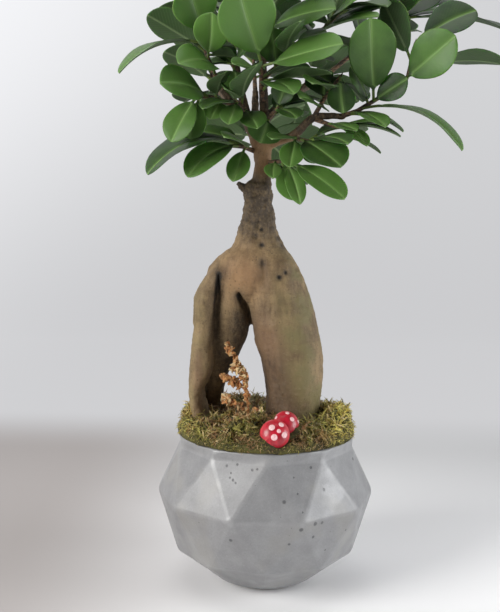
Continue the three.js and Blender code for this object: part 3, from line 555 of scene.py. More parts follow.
class Graph:
    """A node tree that is built by calls."""

    def __init__(self, tree, material=None):
        self.tree = tree
        self.material = material

    def add(self, kind, settings=None, inputs=None):
        """Adds a node of a type, sets it up, then sets or links its sockets by name or number."""
        node = self.tree.nodes.new(kind)
        for key, value in (settings or {}).items():
            setattr(node, key, value)
        for key, value in (inputs or {}).items():
            self.feed(self.find(node.inputs, key), value)
        return node

    @staticmethod
    def find(sockets, key):
        if isinstance(key, int):
            return sockets[key]
        named = [socket for socket in sockets if socket.name == key]
        return next((socket for socket in named if socket.enabled), named[0])

    def feed(self, socket, value):
        source = value.socket if isinstance(value, Value) else value
        if isinstance(source, bpy.types.NodeSocket):
            self.tree.links.new(source, socket)
        elif socket.type == "RGBA" and len(source) == 3:
            socket.default_value = (*source, 1)
        else:
            socket.default_value = source

    def math(self, operation, *numbers):
        node = self.add("ShaderNodeMath", {"operation": operation}, dict(enumerate(numbers)))
        return Value(self, node.outputs[0])

    def vector(self, operation, *values):
        node = self.add("ShaderNodeVectorMath", {"operation": operation}, dict(enumerate(values)))
        if operation in ("DISTANCE", "LENGTH"):
            return Value(self, node.outputs["Value"])
        return node.outputs[0]

    def distance(self, place, spot):
        """The distance in metres from a spot in millimetres."""
        return self.vector("DISTANCE", place, tuple(value * MM for value in spot))

    def split(self, place):
        """The three parts of a place, as numbers."""
        node = self.add("ShaderNodeSeparateXYZ", None, {0: place})
        return [Value(self, socket) for socket in node.outputs]

    def combine(self, x, y, z):
        return self.add("ShaderNodeCombineXYZ", None, {"X": x, "Y": y, "Z": z}).outputs[0]

    def attribute(self, name):
        return Value(self, self.add("ShaderNodeAttribute", {"attribute_name": name}).outputs["Fac"])

    def stretched(self, place, scale):
        return self.add("ShaderNodeMapping", None, {"Vector": place, "Scale": scale}).outputs[0]

    def noise(self, place, size, detail=3.0, roughness=0.55):
        """Noise from 0 to 1 whose lumps have the given size in millimetres."""
        node = self.add("ShaderNodeTexNoise", None, {
            "Vector": place, "Scale": 1 / (size * MM), "Detail": detail, "Roughness": roughness,
        })
        return Value(self, node.outputs[0])

    def cells(self, place, size):
        """The distance from the middle of a cell, as a share of the given size in millimetres."""
        node = self.add("ShaderNodeTexVoronoi", None, {"Vector": place, "Scale": 1 / (size * MM)})
        return Value(self, node.outputs["Distance"])

    def mix(self, share, first, second):
        """A colour between two, as sockets or as triples."""
        node = self.add("ShaderNodeMix", {"data_type": "RGBA"}, {"Factor": share})
        for name, value in (("A", first), ("B", second)):
            self.feed(next(s for s in node.inputs if s.name == name and s.type == "RGBA"), value)
        return next(s for s in node.outputs if s.type == "RGBA")

    def bump(self, height, distance, strength=1.0):
        """A normal from a height of 0 to 1 that stands for the given depth in millimetres."""
        inputs = {"Height": height, "Distance": distance * MM, "Strength": strength}
        return self.add("ShaderNodeBump", None, inputs).outputs["Normal"]

    def form(self, kind, inputs=None, settings=None):
        """The first output of a geometry node."""
        return self.add("GeometryNode" + kind, settings, inputs).outputs[0]

    def random(self, low, high, seed, kind="FLOAT"):
        """A random number or vector for each item."""
        inputs = {"Min": low, "Max": high, "Seed": seed}
        node = self.add("FunctionNodeRandomValue", {"data_type": kind}, inputs)
        return Value(self, next(socket for socket in node.outputs if socket.enabled))

    def rotation_to(self, way):
        """The turn that brings Z to a way."""
        node = self.add("FunctionNodeAlignRotationToVector", {"axis": "Z"}, {"Vector": way})
        return node.outputs[0]

    def tag(self, instances, name, seed):
        """Instances that each hold a random number from 0 to 1 under a name."""
        inputs = {"Geometry": instances, "Name": name, "Value": self.random(0.0, 1.0, seed)}
        return self.form("StoreNamedAttribute", inputs, {"data_type": "FLOAT", "domain": "INSTANCE"})


def new_material(name):
    """A material's graph, and the object's own coordinates in metres."""
    material = bpy.data.materials.new(name)
    material.use_nodes = True
    material.node_tree.nodes.clear()
    graph = Graph(material.node_tree, material)
    return graph, graph.add("ShaderNodeTexCoord").outputs["Object"]


def finish_material(graph, inputs):
    """The material, with its surface shader and output."""
    shader = graph.add("ShaderNodeBsdfPrincipled", None, inputs)
    graph.add("ShaderNodeOutputMaterial", None, {"Surface": shader.outputs[0]})
    return graph.material


def new_tree(name, inputs):
    """A node tree for a modifier: its graph, its input node and its output node."""
    tree = bpy.data.node_groups.new(name, "GeometryNodeTree")
    tree.interface.new_socket("Geometry", in_out="INPUT", socket_type="NodeSocketGeometry")
    for label, kind, value in inputs:
        socket = tree.interface.new_socket(label, in_out="INPUT", socket_type=kind)
        socket.default_value = value
    tree.interface.new_socket("Geometry", in_out="OUTPUT", socket_type="NodeSocketGeometry")
    return Graph(tree), tree.nodes.new("NodeGroupInput"), tree.nodes.new("NodeGroupOutput")


def finish_tree(graph, result, instances, material, stems=None, smooth=True):
    """The tree, with its instances made real, joined to any stems and given their material."""
    whole = graph.form("RealizeInstances", {"Geometry": instances})
    if stems is not None:
        both = graph.add("GeometryNodeJoinGeometry")
        graph.tree.links.new(stems, both.inputs[0])
        graph.tree.links.new(whole, both.inputs[0])
        whole = both.outputs[0]
    if smooth:
        whole = graph.form("SetShadeSmooth", {"Geometry": whole})
    graph.feed(result.inputs[0], graph.form("SetMaterial", {"Geometry": whole, "Material": material}))
    return graph.tree


# Finishes

def concrete_material(settings):
    graph, place = new_material("concrete")
    clouds = graph.noise(place, 38, 4, 0.6)
    grain = graph.noise(place, 1.1, 5, 0.7)
    patches = graph.noise(place, 9, 5, 0.65)
    speckle = graph.noise(place, 0.45, 2, 0.5)
    tone = clouds * 0.4 + patches * 0.35 + grain * 0.25
    base = graph.mix(tone.step(0.3, 0.7), settings.dark_color, settings.light_color)
    warm = graph.mix(graph.noise(place, 26, 2).step(0.52, 0.7) * 0.45, base, settings.warm_color)
    wear = graph.attribute("wear")
    worn = graph.mix(wear * (0.05 + patches * 0.25), warm, settings.worn_color)
    dusty = graph.mix(speckle.step(0.63, 0.75) * 0.16, worn, (0.72, 0.72, 0.72))
    pits = graph.cells(place, 6).step(0.075, 0.04) * graph.noise(place, 16, 1).step(0.48, 0.56)
    for *spot, radius in CONCRETE_PITS:
        pit = graph.distance(place, spot).step(radius * 1.5 * MM, radius * 0.8 * MM)
        pits = pits.math("MAXIMUM", pit)
    # Painted shadow at the pot's foot: the lowest 7 mm of the concrete are darkened towards the colour of the
    # pits
    foot = graph.split(place)[2].step(0.007, 0.001) * 0.55
    color = graph.mix(pits.math("MAXIMUM", foot) * 0.9, dusty, settings.pit_and_foot_shade_color)
    polish = graph.noise(place, 15, 3).step(0.42, 0.62)
    height = patches * 0.3 + grain * 0.2 + speckle * 0.1 - pits * 0.4
    return finish_material(graph, {
        "Base Color": color, "Roughness": 0.42 - polish * 0.12 + grain * 0.12,
        "Specular IOR Level": 0.8, "Normal": graph.bump(height, 0.5, 0.5),
    })


def grained_material(name, grain, rise, colors, roughness, depth):
    """A plain finish of two colours in grains, whose size, detail and roughness are given."""
    graph, place = new_material(name)
    grains = graph.noise(place, *grain)
    color = graph.mix(grains.step(*rise), *colors)
    return finish_material(graph, {
        "Base Color": color, "Roughness": roughness, "Normal": graph.bump(grains, depth),
    })


def soil_material():
    colors = ((0.018, 0.012, 0.008), (0.09, 0.055, 0.032))
    return grained_material("soil", (2.2, 4, 0.7), (0.4, 0.65), colors, 0.95, 1.5)


def dot_material():
    colors = ((0.9, 0.6, 0.6), (0.78, 0.45, 0.46))
    return grained_material("white_dots", (0.8, 3), (0.3, 0.7), colors, 0.45, 0.12)


def stem_material():
    colors = ((0.75, 0.68, 0.52), (0.5, 0.42, 0.28))
    return grained_material("pale_paint", (1.5, 4), (0.3, 0.7), colors, 0.7, 0.3)


def moss_ground_material(settings):
    graph, place = new_material("moss_ground")
    fibres = graph.noise(place, 1.3, 4, 0.75)
    patches = graph.noise(place, 9, 3)
    color = graph.mix(patches.step(0.4, 0.6), (0.045, 0.036, 0.012), (0.10, 0.092, 0.022))
    lit = graph.mix(fibres.step(0.5, 0.72), color, settings.olive_color)
    return finish_material(graph, {"Base Color": lit, "Roughness": 0.95, "Normal": graph.bump(fibres, 1.2)})


def moss_shoot_material(settings):
    graph, place = new_material("moss_shoots")
    tone = graph.attribute("moss_tone")
    patches = graph.noise(place, 11, 3, 0.6)
    small = graph.noise(place, 3.2, 2)
    green = graph.mix(tone, settings.olive_color, settings.bright_color)
    mixed = graph.mix(patches.step(0.44, 0.6), green, settings.brown_color)
    sideways = graph.split(place)[0]
    sides = sideways.step(0.026, 0.046).math("MAXIMUM", sideways.step(-0.03, -0.05) * 0.45)
    yellow = graph.mix(sides * small.step(0.3, 0.5) * 0.95, mixed, settings.yellow_color)
    dry_share = graph.distance(place, DRY_PATCH).step(0.019, 0.007) * small.step(0.42, 0.58) * 0.75
    dry = graph.mix(dry_share, yellow, settings.dry_color)
    straw = graph.mix(tone.step(0.86, 0.9) * 0.8, dry, settings.straw_color)
    dark = graph.mix(tone.step(0.24, 0.12) * 0.85, straw, (0.02, 0.03, 0.008))
    return finish_material(graph, {
        "Base Color": dark, "Roughness": 0.75, "Subsurface Weight": 0.15, "Subsurface Scale": 0.002,
    })


def bark_material(settings):
    graph, place = new_material("bark")
    upright = graph.stretched(place, (1, 1, 0.3))
    level = graph.stretched(place, (1, 1, 3.2))
    clouds = graph.noise(place, 22, 4, 0.6)
    streaks = graph.noise(upright, 3.4, 5, 0.65)
    rings = graph.noise(level, 5.5, 4, 0.6)
    grain = graph.noise(place, 0.9, 4, 0.7)
    tone = clouds * 0.4 + streaks * 0.3 + rings * 0.1 + grain * 0.2
    base = graph.mix(tone.step(0.4, 0.6), settings.dark_color, settings.light_color)
    film = graph.attribute("bark_green") * graph.noise(place, 17, 4).step(0.34, 0.6)
    olive = graph.mix(film, base, settings.green_color)
    warm = graph.mix(graph.attribute("bark_warm") * (0.35 + streaks * 0.6), olive, settings.warm_color)
    # Reddish bark mixed in darker inside the arch and on the left root's lower part: partly the bark's own
    # red, partly painted shade
    red = graph.mix(graph.attribute("bark_red") * (0.2 + clouds * 0.7), warm, settings.red_color)
    # bark_dark is painted shade: darker along the clefts, round the dents, on the middle root under the fork
    # and on the branches inside the crown, and darker on the neck; cracks there are drawn darker too
    shade = graph.attribute("bark_dark")
    mottle = graph.noise(graph.stretched(place, (1, 1, 0.7)), 2.4, 4, 0.7).step(0.36, 0.62)
    dim = graph.mix(shade * (0.55 + mottle * 0.45), red, settings.dark_bark_and_shade_color)
    specks = graph.cells(graph.stretched(place, (1, 1, 1.7)), 3.1).step(0.3, 0.14) * grain.step(0.4, 0.55)
    speckled = graph.mix(specks * 0.22, dim, (0.30, 0.23, 0.145))
    cracks = graph.noise(upright, 1.7, 5, 0.75).step(0.40, 0.34)
    cracked = graph.mix(cracks * (0.25 + shade * 0.4), speckled, (0.035, 0.024, 0.016))
    pores = graph.cells(place, 2.1).step(0.26, 0.1) * graph.noise(place, 11, 2).step(0.46, 0.6)
    pored = graph.mix(pores * 0.6, cracked, (0.06, 0.038, 0.022))
    # bark_hollow is painted shade: near black deep in the slot and in the small dents
    hollowed = graph.mix(graph.attribute("bark_hollow") * 0.95, pored, (0.012, 0.009, 0.006))
    raised = rings * 0.3 + streaks * 0.25 + grain * 0.25 + specks * 0.12 + mottle * shade * 0.5
    lines = raised - cracks * (0.12 + shade * 0.35) - pores * 0.3
    return finish_material(graph, {
        "Base Color": hollowed, "Roughness": 0.62 + grain * 0.2 - clouds * 0.12, "Specular IOR Level": 0.35,
        "Normal": graph.bump(lines, 1.3, 0.6),
    })


def leaf_material(settings):
    graph, place = new_material("leaf")
    tone = graph.attribute("leaf_tone")
    off_rib = graph.attribute("off_rib").math("ABSOLUTE")
    along = graph.attribute("blade_share")
    top = graph.attribute("top_side").step(0.35, 0.65)
    blotch = graph.noise(place, 7, 3)
    vein_run = (along * 15 - off_rib * 0.42).math("FRACT")
    veins = (vein_run - 0.5).math("ABSOLUTE").step(0.36, 0.5)
    rib = off_rib.step(0.95, 0.45)
    rib_glow = off_rib.step(2.6, 0.6)
    # The leaf's random tone and painted shade, with blotches, darker towards the stalk as painted shade and
    # darker towards the edges
    lit = tone * 0.75 + blotch * 0.3 - along.step(0.5, 0.0) * 0.3 - off_rib.step(4, 13) * 0.15
    green = graph.mix(lit.step(0.08, 0.85), settings.dark_color, settings.bright_color)
    veined = graph.mix(veins * 0.03, green, settings.rib_color)
    ribbed = graph.mix(rib_glow * 0.2 + rib * 0.4, veined, settings.rib_color)
    # The underside too is mixed darker by the painted shade
    under = graph.mix(tone, settings.under_dark_color, settings.under_color)
    under_ribbed = graph.mix(veins * 0.12 + rib * 0.5, under, settings.under_rib_color)
    color = graph.mix(top, under_ribbed, ribbed)
    stalk = along.step(0.03, -0.02)
    final = graph.mix(stalk, color, settings.stalk_color)
    ripple = graph.noise(place, 2.4, 3)
    height = veins * -0.05 + rib * -0.3 + ripple * 0.5
    return finish_material(graph, {
        "Base Color": final, "Roughness": 0.6 - top * 0.2 + ripple * 0.08, "Specular IOR Level": 0.3,
        "Subsurface Weight": 0.12, "Subsurface Scale": 0.003, "Subsurface Radius": (0.4, 1.0, 0.15),
        "Normal": graph.bump(height, 0.35, 0.5),
    })


def twig_material(settings):
    graph, place = new_material("twig")
    rings = graph.noise(graph.stretched(place, (1, 1, 2.5)), 2.5, 4, 0.6)
    color = graph.mix(rings.step(0.4, 0.65) * 0.6, settings.dark_bark_and_shade_color, settings.warm_color)
    return finish_material(graph, {"Base Color": color, "Roughness": 0.75, "Normal": graph.bump(rings, 0.5)})


def cap_material(settings):
    graph, place = new_material("red_paint")
    clouds = graph.noise(place, 4, 3)
    grain = graph.noise(place, 0.5, 3)
    color = graph.mix(clouds.step(0.35, 0.68), settings.cap_color, settings.cap_shade)
    # Painted highlight: paler red round the cap's rim, where its gloss catches the light
    rim_highlighted = graph.mix(graph.attribute("cap_rim") * (0.4 + clouds * 0.5), color, settings.rim_color)
    return finish_material(graph, {
        "Base Color": rim_highlighted, "Roughness": 0.3 + grain * 0.18, "Coat Weight": 0.4, "Coat Roughness": 0.15,
        "Normal": graph.bump(clouds * 0.6 + grain * 0.4, 0.25),
    })


def dried_material(settings):
    graph, place = new_material("dried_plant")
    tone = graph.attribute("floret_tone")
    blotch = graph.noise(place, 2.2, 4, 0.7)
    color = graph.mix(blotch.step(0.32, 0.66), settings.shade_color, settings.light_color)
    straw = graph.mix(tone.step(0.5, 0.95) * 0.8, color, settings.straw_color)
    return finish_material(graph, {
        "Base Color": straw, "Roughness": 0.8, "Subsurface Weight": 0.1, "Subsurface Scale": 0.002,
        "Normal": graph.bump(blotch, 0.5),
    })


# Pot

def make_pot(settings):
    """The faceted pot, with its facet edges worn round."""
    shape = node_copy("pot")
    limit = math.radians(FLAT_ANGLE)
    bmesh.ops.dissolve_limit(shape, angle_limit=limit, verts=shape.verts, edges=shape.edges)
    mesh = bpy.data.meshes.new("concrete_pot")
    shape.to_mesh(mesh)
    shape.free()
    piece = show_mesh("concrete_pot", mesh)
    bevel = piece.modifiers.new("worn_edges", "BEVEL")
    bevel.width = settings.edge_round * MM
    bevel.segments = EDGE_STEPS
    bevel.limit_method = "ANGLE"
    bevel.angle_limit = math.radians(EDGE_ANGLE)
    bake_modifiers(piece)
    mesh = piece.data
    set_values(mesh, "wear", smooth_step(*WORN_FACE_AREAS, largest_face_at_points(mesh)))
    smooth_worn_edges(mesh)
    mesh.materials.clear()
    mesh.materials.append(concrete_material(settings))
    fit_piece(piece, "concrete", "pot")


def largest_face_at_points(mesh):
    """For each point the area in square millimetres of the largest face that meets there."""
    areas = np.zeros(len(mesh.vertices))
    for face in mesh.polygons:
        for index in face.vertices:
            areas[index] = max(areas[index], face.area / MM ** 2)
    return areas


def smooth_worn_edges(mesh):
    """Smooth shading on the worn edges only, so that the facets stay flat."""
    mesh.polygons.foreach_set("use_smooth", np.full(len(mesh.polygons), True))
    normals = np.zeros((len(mesh.vertices), 3))
    for face in mesh.polygons:
        weight = face.area ** 2
        for index in face.vertices:
            normals[index] += np.array(face.normal) * weight
    lengths = np.linalg.norm(normals, axis=1, keepdims=True)
    mesh.normals_split_custom_set_from_vertices((normals / np.maximum(lengths, 1e-30)).tolist())


def make_soil():
    """The soil keeps its solid and gets its crumbs."""
    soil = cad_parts["soil"]
    soil.data.materials.clear()
    soil.data.materials.append(soil_material())


# Trunk

# Distance field: the value far from any limb, how far past its fillet a limb is worked out, the longest
# round end of a limb, and the room round the trunk
FAR_AWAY = 20.0
MARGIN = 3
END_ROUND = 4
GRID_EDGE = 4


class Field:
    """Distances to the trunk's surface on a grid of points, below zero inside."""

    def __init__(self, low, high, pitch):
        self.low = np.array(low, dtype=float)
        self.pitch = pitch
        self.counts = np.ceil((np.array(high) - self.low) / pitch).astype(int)
        self.values = np.full(self.counts, FAR_AWAY, dtype=np.float32)

    def limb_distance(self, rows, margin):
        """The distances to one limb in the part of the grid that it reaches."""
        middles, sides, deeps = limb_frames(rows)
        first, last = self.cells_round(middles, rows[:, 3:5].max() + margin, 0, self.counts)
        result = np.full(last - first, FAR_AWAY, dtype=np.float32)
        for k in range(len(rows) - 1):
            halves = rows[k:k + 2, 3:5]
            self.add_piece(result, first, middles[k:k + 2], sides[k], deeps[k], halves, margin)
        return tuple(slice(a, b) for a, b in zip(first, last)), result

    def cells_round(self, points, reach, origin, limits):
        """The first and last grid cells within reach of points, counted from an origin."""
        start = np.floor((points.min(0) - reach - self.low) / self.pitch).astype(int) - origin
        stop = np.ceil((points.max(0) + reach - self.low) / self.pitch).astype(int) - origin
        return np.clip(start, 0, limits), np.clip(stop, 0, limits)

    def add_piece(self, result, first, ends, side, deep, halves, margin):
        """Lowers the distances round one straight piece of a limb."""
        start, stop = self.cells_round(ends, halves.max() + margin, first, np.array(result.shape))
        if (stop <= start).any():
            return
        corner = self.low + first * self.pitch - ends[0]
        axes = [corner[k] + np.arange(start[k], stop[k]) * self.pitch for k in range(3)]
        x, y, z = np.meshgrid(*axes, indexing="ij", sparse=True)
        run = ends[1] - ends[0]
        length = np.linalg.norm(run)
        flow, sideways, depth = (x * way[0] + y * way[1] + z * way[2] for way in (run / length, side, deep))
        share = np.clip(flow / length, 0, 1)
        past = flow - share * length
        wide, thick = (halves[0][k] + (halves[1][k] - halves[0][k]) * share for k in (0, 1))
        small = np.minimum(wide, thick)
        end_round = np.minimum(small, END_ROUND)
        ratio = np.sqrt((sideways / wide) ** 2 + (depth / thick) ** 2 + (past / end_round) ** 2)
        place = tuple(slice(a, b) for a, b in zip(start, stop))
        result[place] = np.minimum(result[place], (ratio - 1) * small)

    def join(self, rows, blend):
        """Adds a limb, with a soft fillet of about the given size."""
        region, distance = self.limb_distance(rows, blend + MARGIN)
        whole = self.values[region]
        share = np.clip(0.5 + 0.5 * (distance - whole) / blend, 0, 1)
        self.values[region] = distance * (1 - share) + whole * share - blend * share * (1 - share)

    def cut(self, rows, blend):
        """Takes a limb away, with a soft edge of about the given size."""
        region, distance = self.limb_distance(rows, blend + MARGIN)
        whole = self.values[region]
        share = np.clip(0.5 - 0.5 * (whole + distance) / blend, 0, 1)
        self.values[region] = whole * (1 - share) - distance * share + blend * share * (1 - share)

    def surface(self):
        """Points in millimetres and four-sided faces of the surface at distance zero."""
        grid = openvdb.FloatGrid(FAR_AWAY)
        grid.copyFromArray(self.values)
        points, quads = grid.convertToQuads(isovalue=0.0)
        return np.array(points) * self.pitch + self.low, np.array(quads)


def outward_quads(points, quads):
    """The faces turned so that they point outwards."""
    a, b, c, d = (points[quads[:, k]] for k in range(4))
    volume = np.sum(a * (np.cross(b, c) + np.cross(c, d)))
    return quads if volume > 0 else quads[:, ::-1]


def relax(points, quads, rounds, share=0.5):
    """Moves each point towards the middle of its neighbours."""
    ends = np.vstack([quads[:, [k, (k + 1) % 4]] for k in range(4)])
    counts = np.bincount(ends[:, 0], minlength=len(points))
    for _ in range(rounds):
        sums = [np.bincount(ends[:, 0], points[ends[:, 1], k], len(points)) for k in range(3)]
        points = points + (np.stack(sums, axis=1) / counts[:, None] - points) * share
    return points


def point_normals(points, quads):
    a, b, c, d = (points[quads[:, k]] for k in range(4))
    across = np.cross(c - a, d - b)
    normals = np.zeros_like(points)
    for k in range(4):
        for axis in range(3):
            normals[:, axis] += np.bincount(quads[:, k], across[:, axis], len(points))
    return normals / np.maximum(np.linalg.norm(normals, axis=1, keepdims=True), 1e-9)


def distance_to_line(points, line):
    """The distance of each point to the nearest of a line's points, taken densely."""
    dense = smooth_rows(line, 8)[:, :3]
    return np.min([np.linalg.norm(points - spot, axis=1) for spot in dense], axis=0)


def bark_relief(points):
    """How far the bark stands out, in millimetres, at each point."""
    x, y, z = points.T
    swollen = smooth_step(206, 190, z)
    neck = smooth_step(196, 212, z) * smooth_step(246, 232, z)
    broad = roughness_at(points * (1, 1, 0.6), 16, 3.1, 2)
    middle = roughness_at(points * (1, 1, 0.8), 5.5, 7.7, 3)
    wrinkles = roughness_at(points * (0.6, 0.6, 2.2), 4.2, 1.4, 3)
    stripes = roughness_at(points * (1, 1, 0.28), 3.6, 11.2, 3)
    relief = swollen * (0.75 * broad + 0.28 * middle + 0.16 * wrinkles + 0.2 * stripes)
    relief += neck * (0.9 * middle + 0.5 * wrinkles + 0.5 * stripes)
    relief += smooth_step(240, 250, z) * (0.18 * middle + 0.15 * wrinkles)
    for line, width, rise in BARK_LINES:
        relief += rise * bell(distance_to_line(points, smooth_rows(line, 8)), width)
    for *spot, reach, depth in BARK_DENTS:
        relief -= depth * bell(np.linalg.norm(points - np.array(spot), axis=1), reach)
    return relief


def bark_values(points):
    """The masks that the bark's material reads."""
    x, y, z = points.T
    ways = {"x": x, "z": z, "arch": x - ARCH_SLANT * (ARCH_MIDDLE_HEIGHT - z)}
    masks = {tint: np.zeros(len(points)) for tint in ("dark", "green", "warm", "red", "hollow")}

    def tint(name, values):
        masks[name] = np.maximum(masks[name], values)

    for name, strength, rises in BARK_ZONES:
        shares = [smooth_step(low, high, ways[way]) for way, low, high in rises]
        tint(name, strength * np.prod(shares, axis=0))
    # Painted shade along each cleft, near black deep in its slot
    for line in CLEFTS:
        flat_line = [(a, 0, c, 0, 0) for a, _, c, *_ in line]
        gap = distance_to_line(points * (1, 0, 1), flat_line)
        tint("dark", 0.8 * bell(gap, 4.2) * smooth_step(4, -4, y))
        tint("hollow", smooth_step(2.3, 1.0, gap) * smooth_step(-4, -9, y))
    # Painted shade round each dent, near black in the small ones
    for *spot, reach, _ in BARK_DENTS:
        away = np.linalg.norm((points - np.array(spot)) * (1, 0.3, 1), axis=1)
        tint("dark", bell(away, 1.2 * reach))
        tint("hollow", smooth_step(reach, 0.5 * reach, away) * (reach < DEEP_DENT_REACH))
    tint("warm", smooth_step(238, 246, z) * (0.25 + 0.65 * smooth_step(270, 258, z)))
    middle_x, middle_z, across, up = SHOULDER
    tint("warm", 0.95 * bell(x - middle_x, across) * bell(z - middle_z, up))
    return {"bark_" + name: mask for name, mask in masks.items()}


def make_trunk(settings):
    """Swollen roots, neck and branches, grown together in one skin."""
    branches = [([(*row, row[-1]) for row in rows], BRANCH_FILLET) for rows in BRANCHES]
    low, high = (np.array(end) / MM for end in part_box("trunk"))
    field = Field(low - GRID_EDGE, high + GRID_EDGE, settings.pitch)
    for rows, blend in LIMBS + branches:
        field.join(smooth_rows(rows, 4), blend)
    for rows in CLEFTS:
        field.cut(smooth_rows(rows, 4), CLEFT_FILLET)
    points, quads = field.surface()
    quads = outward_quads(points, quads)
    smooth = relax(points, quads, 8)
    near_cleft = np.max([bell(distance_to_line(points, rows), 6) for rows in CLEFTS], axis=0)
    share = smooth_step(246, 228, points[:, 2]) * (1 - near_cleft)
    points = points + (smooth - points) * share[:, None]
    points = relax(points, quads, 2)
    points = points + point_normals(points, quads) * bark_relief(points)[:, None]
    mesh = make_mesh("trunk_bark", points, quads, bark_values(points), [bark_material(settings)])
    fit_piece(show_mesh("trunk_bark", mesh), "bark", "trunk")


# Leaves

def along_twig(twig, share):
    """The point at a share of a twig, counted in straight pieces, and the way the twig runs there."""
    pieces = len(twig) - 1
    piece = min(math.floor(share * pieces), pieces - 1)
    start, end = np.array(twig[piece], float), np.array(twig[piece + 1], float)
    return start + (end - start) * (share * pieces - piece), unit(end - start)


def placed_leaf(twig, row, shift):
    share, x, y, z, width, facing, arch = row
    turn = math.radians(facing)
    return {
        "base": along_twig(twig, share)[0], "tip": np.array((x, y + shift, z), float),
        "face": np.array((0, -math.sin(turn), math.cos(turn))), "width": width, "arch": arch,
    }


def rule_leaf(twig, more, first_turn, reach, k, shift):
    """A leaf past the placed ones, turned by the golden angle and steeper towards the twig's end."""
    point, way = along_twig(twig, 0.3 + 0.7 * (k + 0.5) / more)
    turn = math.radians(first_turn + GOLDEN_ANGLE * k + 3 * shift)
    lift = math.radians(12 + 48 * k / more)
    spread = ((k * 37 + more * 11) % 16) / 16
    sideways = np.array((math.cos(turn), math.sin(turn), 0))
    sideways = unit(sideways - way * np.dot(sideways, way))
    run = sideways * math.cos(lift) + way * math.sin(lift)
    length = LEAF_LENGTH * reach * (0.82 + 0.3 * spread)
    return {
        "base": point, "tip": point + run * length, "face": unit(way + np.array((0, 0, 0.6))),
        "width": LEAF_WIDTH * (0.85 + 0.25 * (1 - spread)), "arch": 0.1,
    }


def leaves_of(name):
    """The shoot's leaves in the places that its solid gave them, so that both have the same form."""
    twig, rows, more, first_turn, reach = SHOOTS[name]
    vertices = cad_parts["spray_" + name].data.vertices
    corners = np.empty(len(vertices) * 3)
    vertices.foreach_get("co", corners)
    corners = corners.reshape(-1, 3) / MM
    makers = [lambda shift, row=row: placed_leaf(twig, row, shift) for row in rows]
    makers += [lambda shift, k=k: rule_leaf(twig, more, first_turn, reach, k, shift) for k in range(more)]
    leaves = []
    for maker in makers:
        places = [maker(shift) for shift in CLASH_SHIFTS]
        misses = [np.linalg.norm(corners - place["tip"], axis=1).min() for place in places]
        leaves += [place for place, miss in zip(places, misses) if miss < TIP_TOLERANCE][:1]
    return leaves


def blade_outline(share):
    """Half width of a blade, as a share of its greatest half width."""
    def shape(s):
        return s ** 0.9 * (1 - s) ** 0.6
    return shape(share) / shape(WIDEST_SHARE)


# Points across a blade, as shares of its half width, denser at the rib
HALF_ACROSS = [1, 0.93, 0.8, 0.62, 0.42, 0.22, 0.09, 0.035]
ACROSS = np.array([*HALF_ACROSS, 0, *(-share for share in reversed(HALF_ACROSS))])
STALK_RINGS = (0, 0.3, 0.6, 0.85)
# Half thickness of a blade at its middle and edge, and in its rib the groove above, the keel below at the
# stalk and the keel all along, with half the rib's width
BLADE_THICKNESS = 0.36
EDGE_THICKNESS = 0.06
RIB_GROOVE = 0.28
RIB_KEEL = 0.55
RIB_LINE = 0.1
RIB_REACH = 0.7


def leaf_section(half, ripple, blade, seed_wave):
    """One ring across the blade: sideways place, height, and the values that the material reads."""
    top = np.abs(ACROSS)
    fold = half * RIB_FOLD * (1.35 * top - 0.35 * top ** 2)
    wave = ripple * half * top ** 2 * np.sin(2 * math.pi * (1.6 * blade + seed_wave) + 1.2 * ACROSS)
    thick = BLADE_THICKNESS * (1 - top ** 3) + EDGE_THICKNESS
    near_rib = bell(top * half, RIB_REACH)
    upper = fold + wave + thick - RIB_GROOVE * near_rib * min(1, half / 4)
    lower = (fold + wave - thick - (RIB_KEEL * (1 - blade) + RIB_LINE) * near_rib)[1:-1][::-1]
    sideways = np.concatenate([ACROSS, ACROSS[1:-1][::-1]]) * half
    sides = np.concatenate([[0.5], np.ones(len(ACROSS) - 2), [0.5], np.zeros(len(ACROSS) - 2)])
    return sideways, np.concatenate([upper, lower]), sides


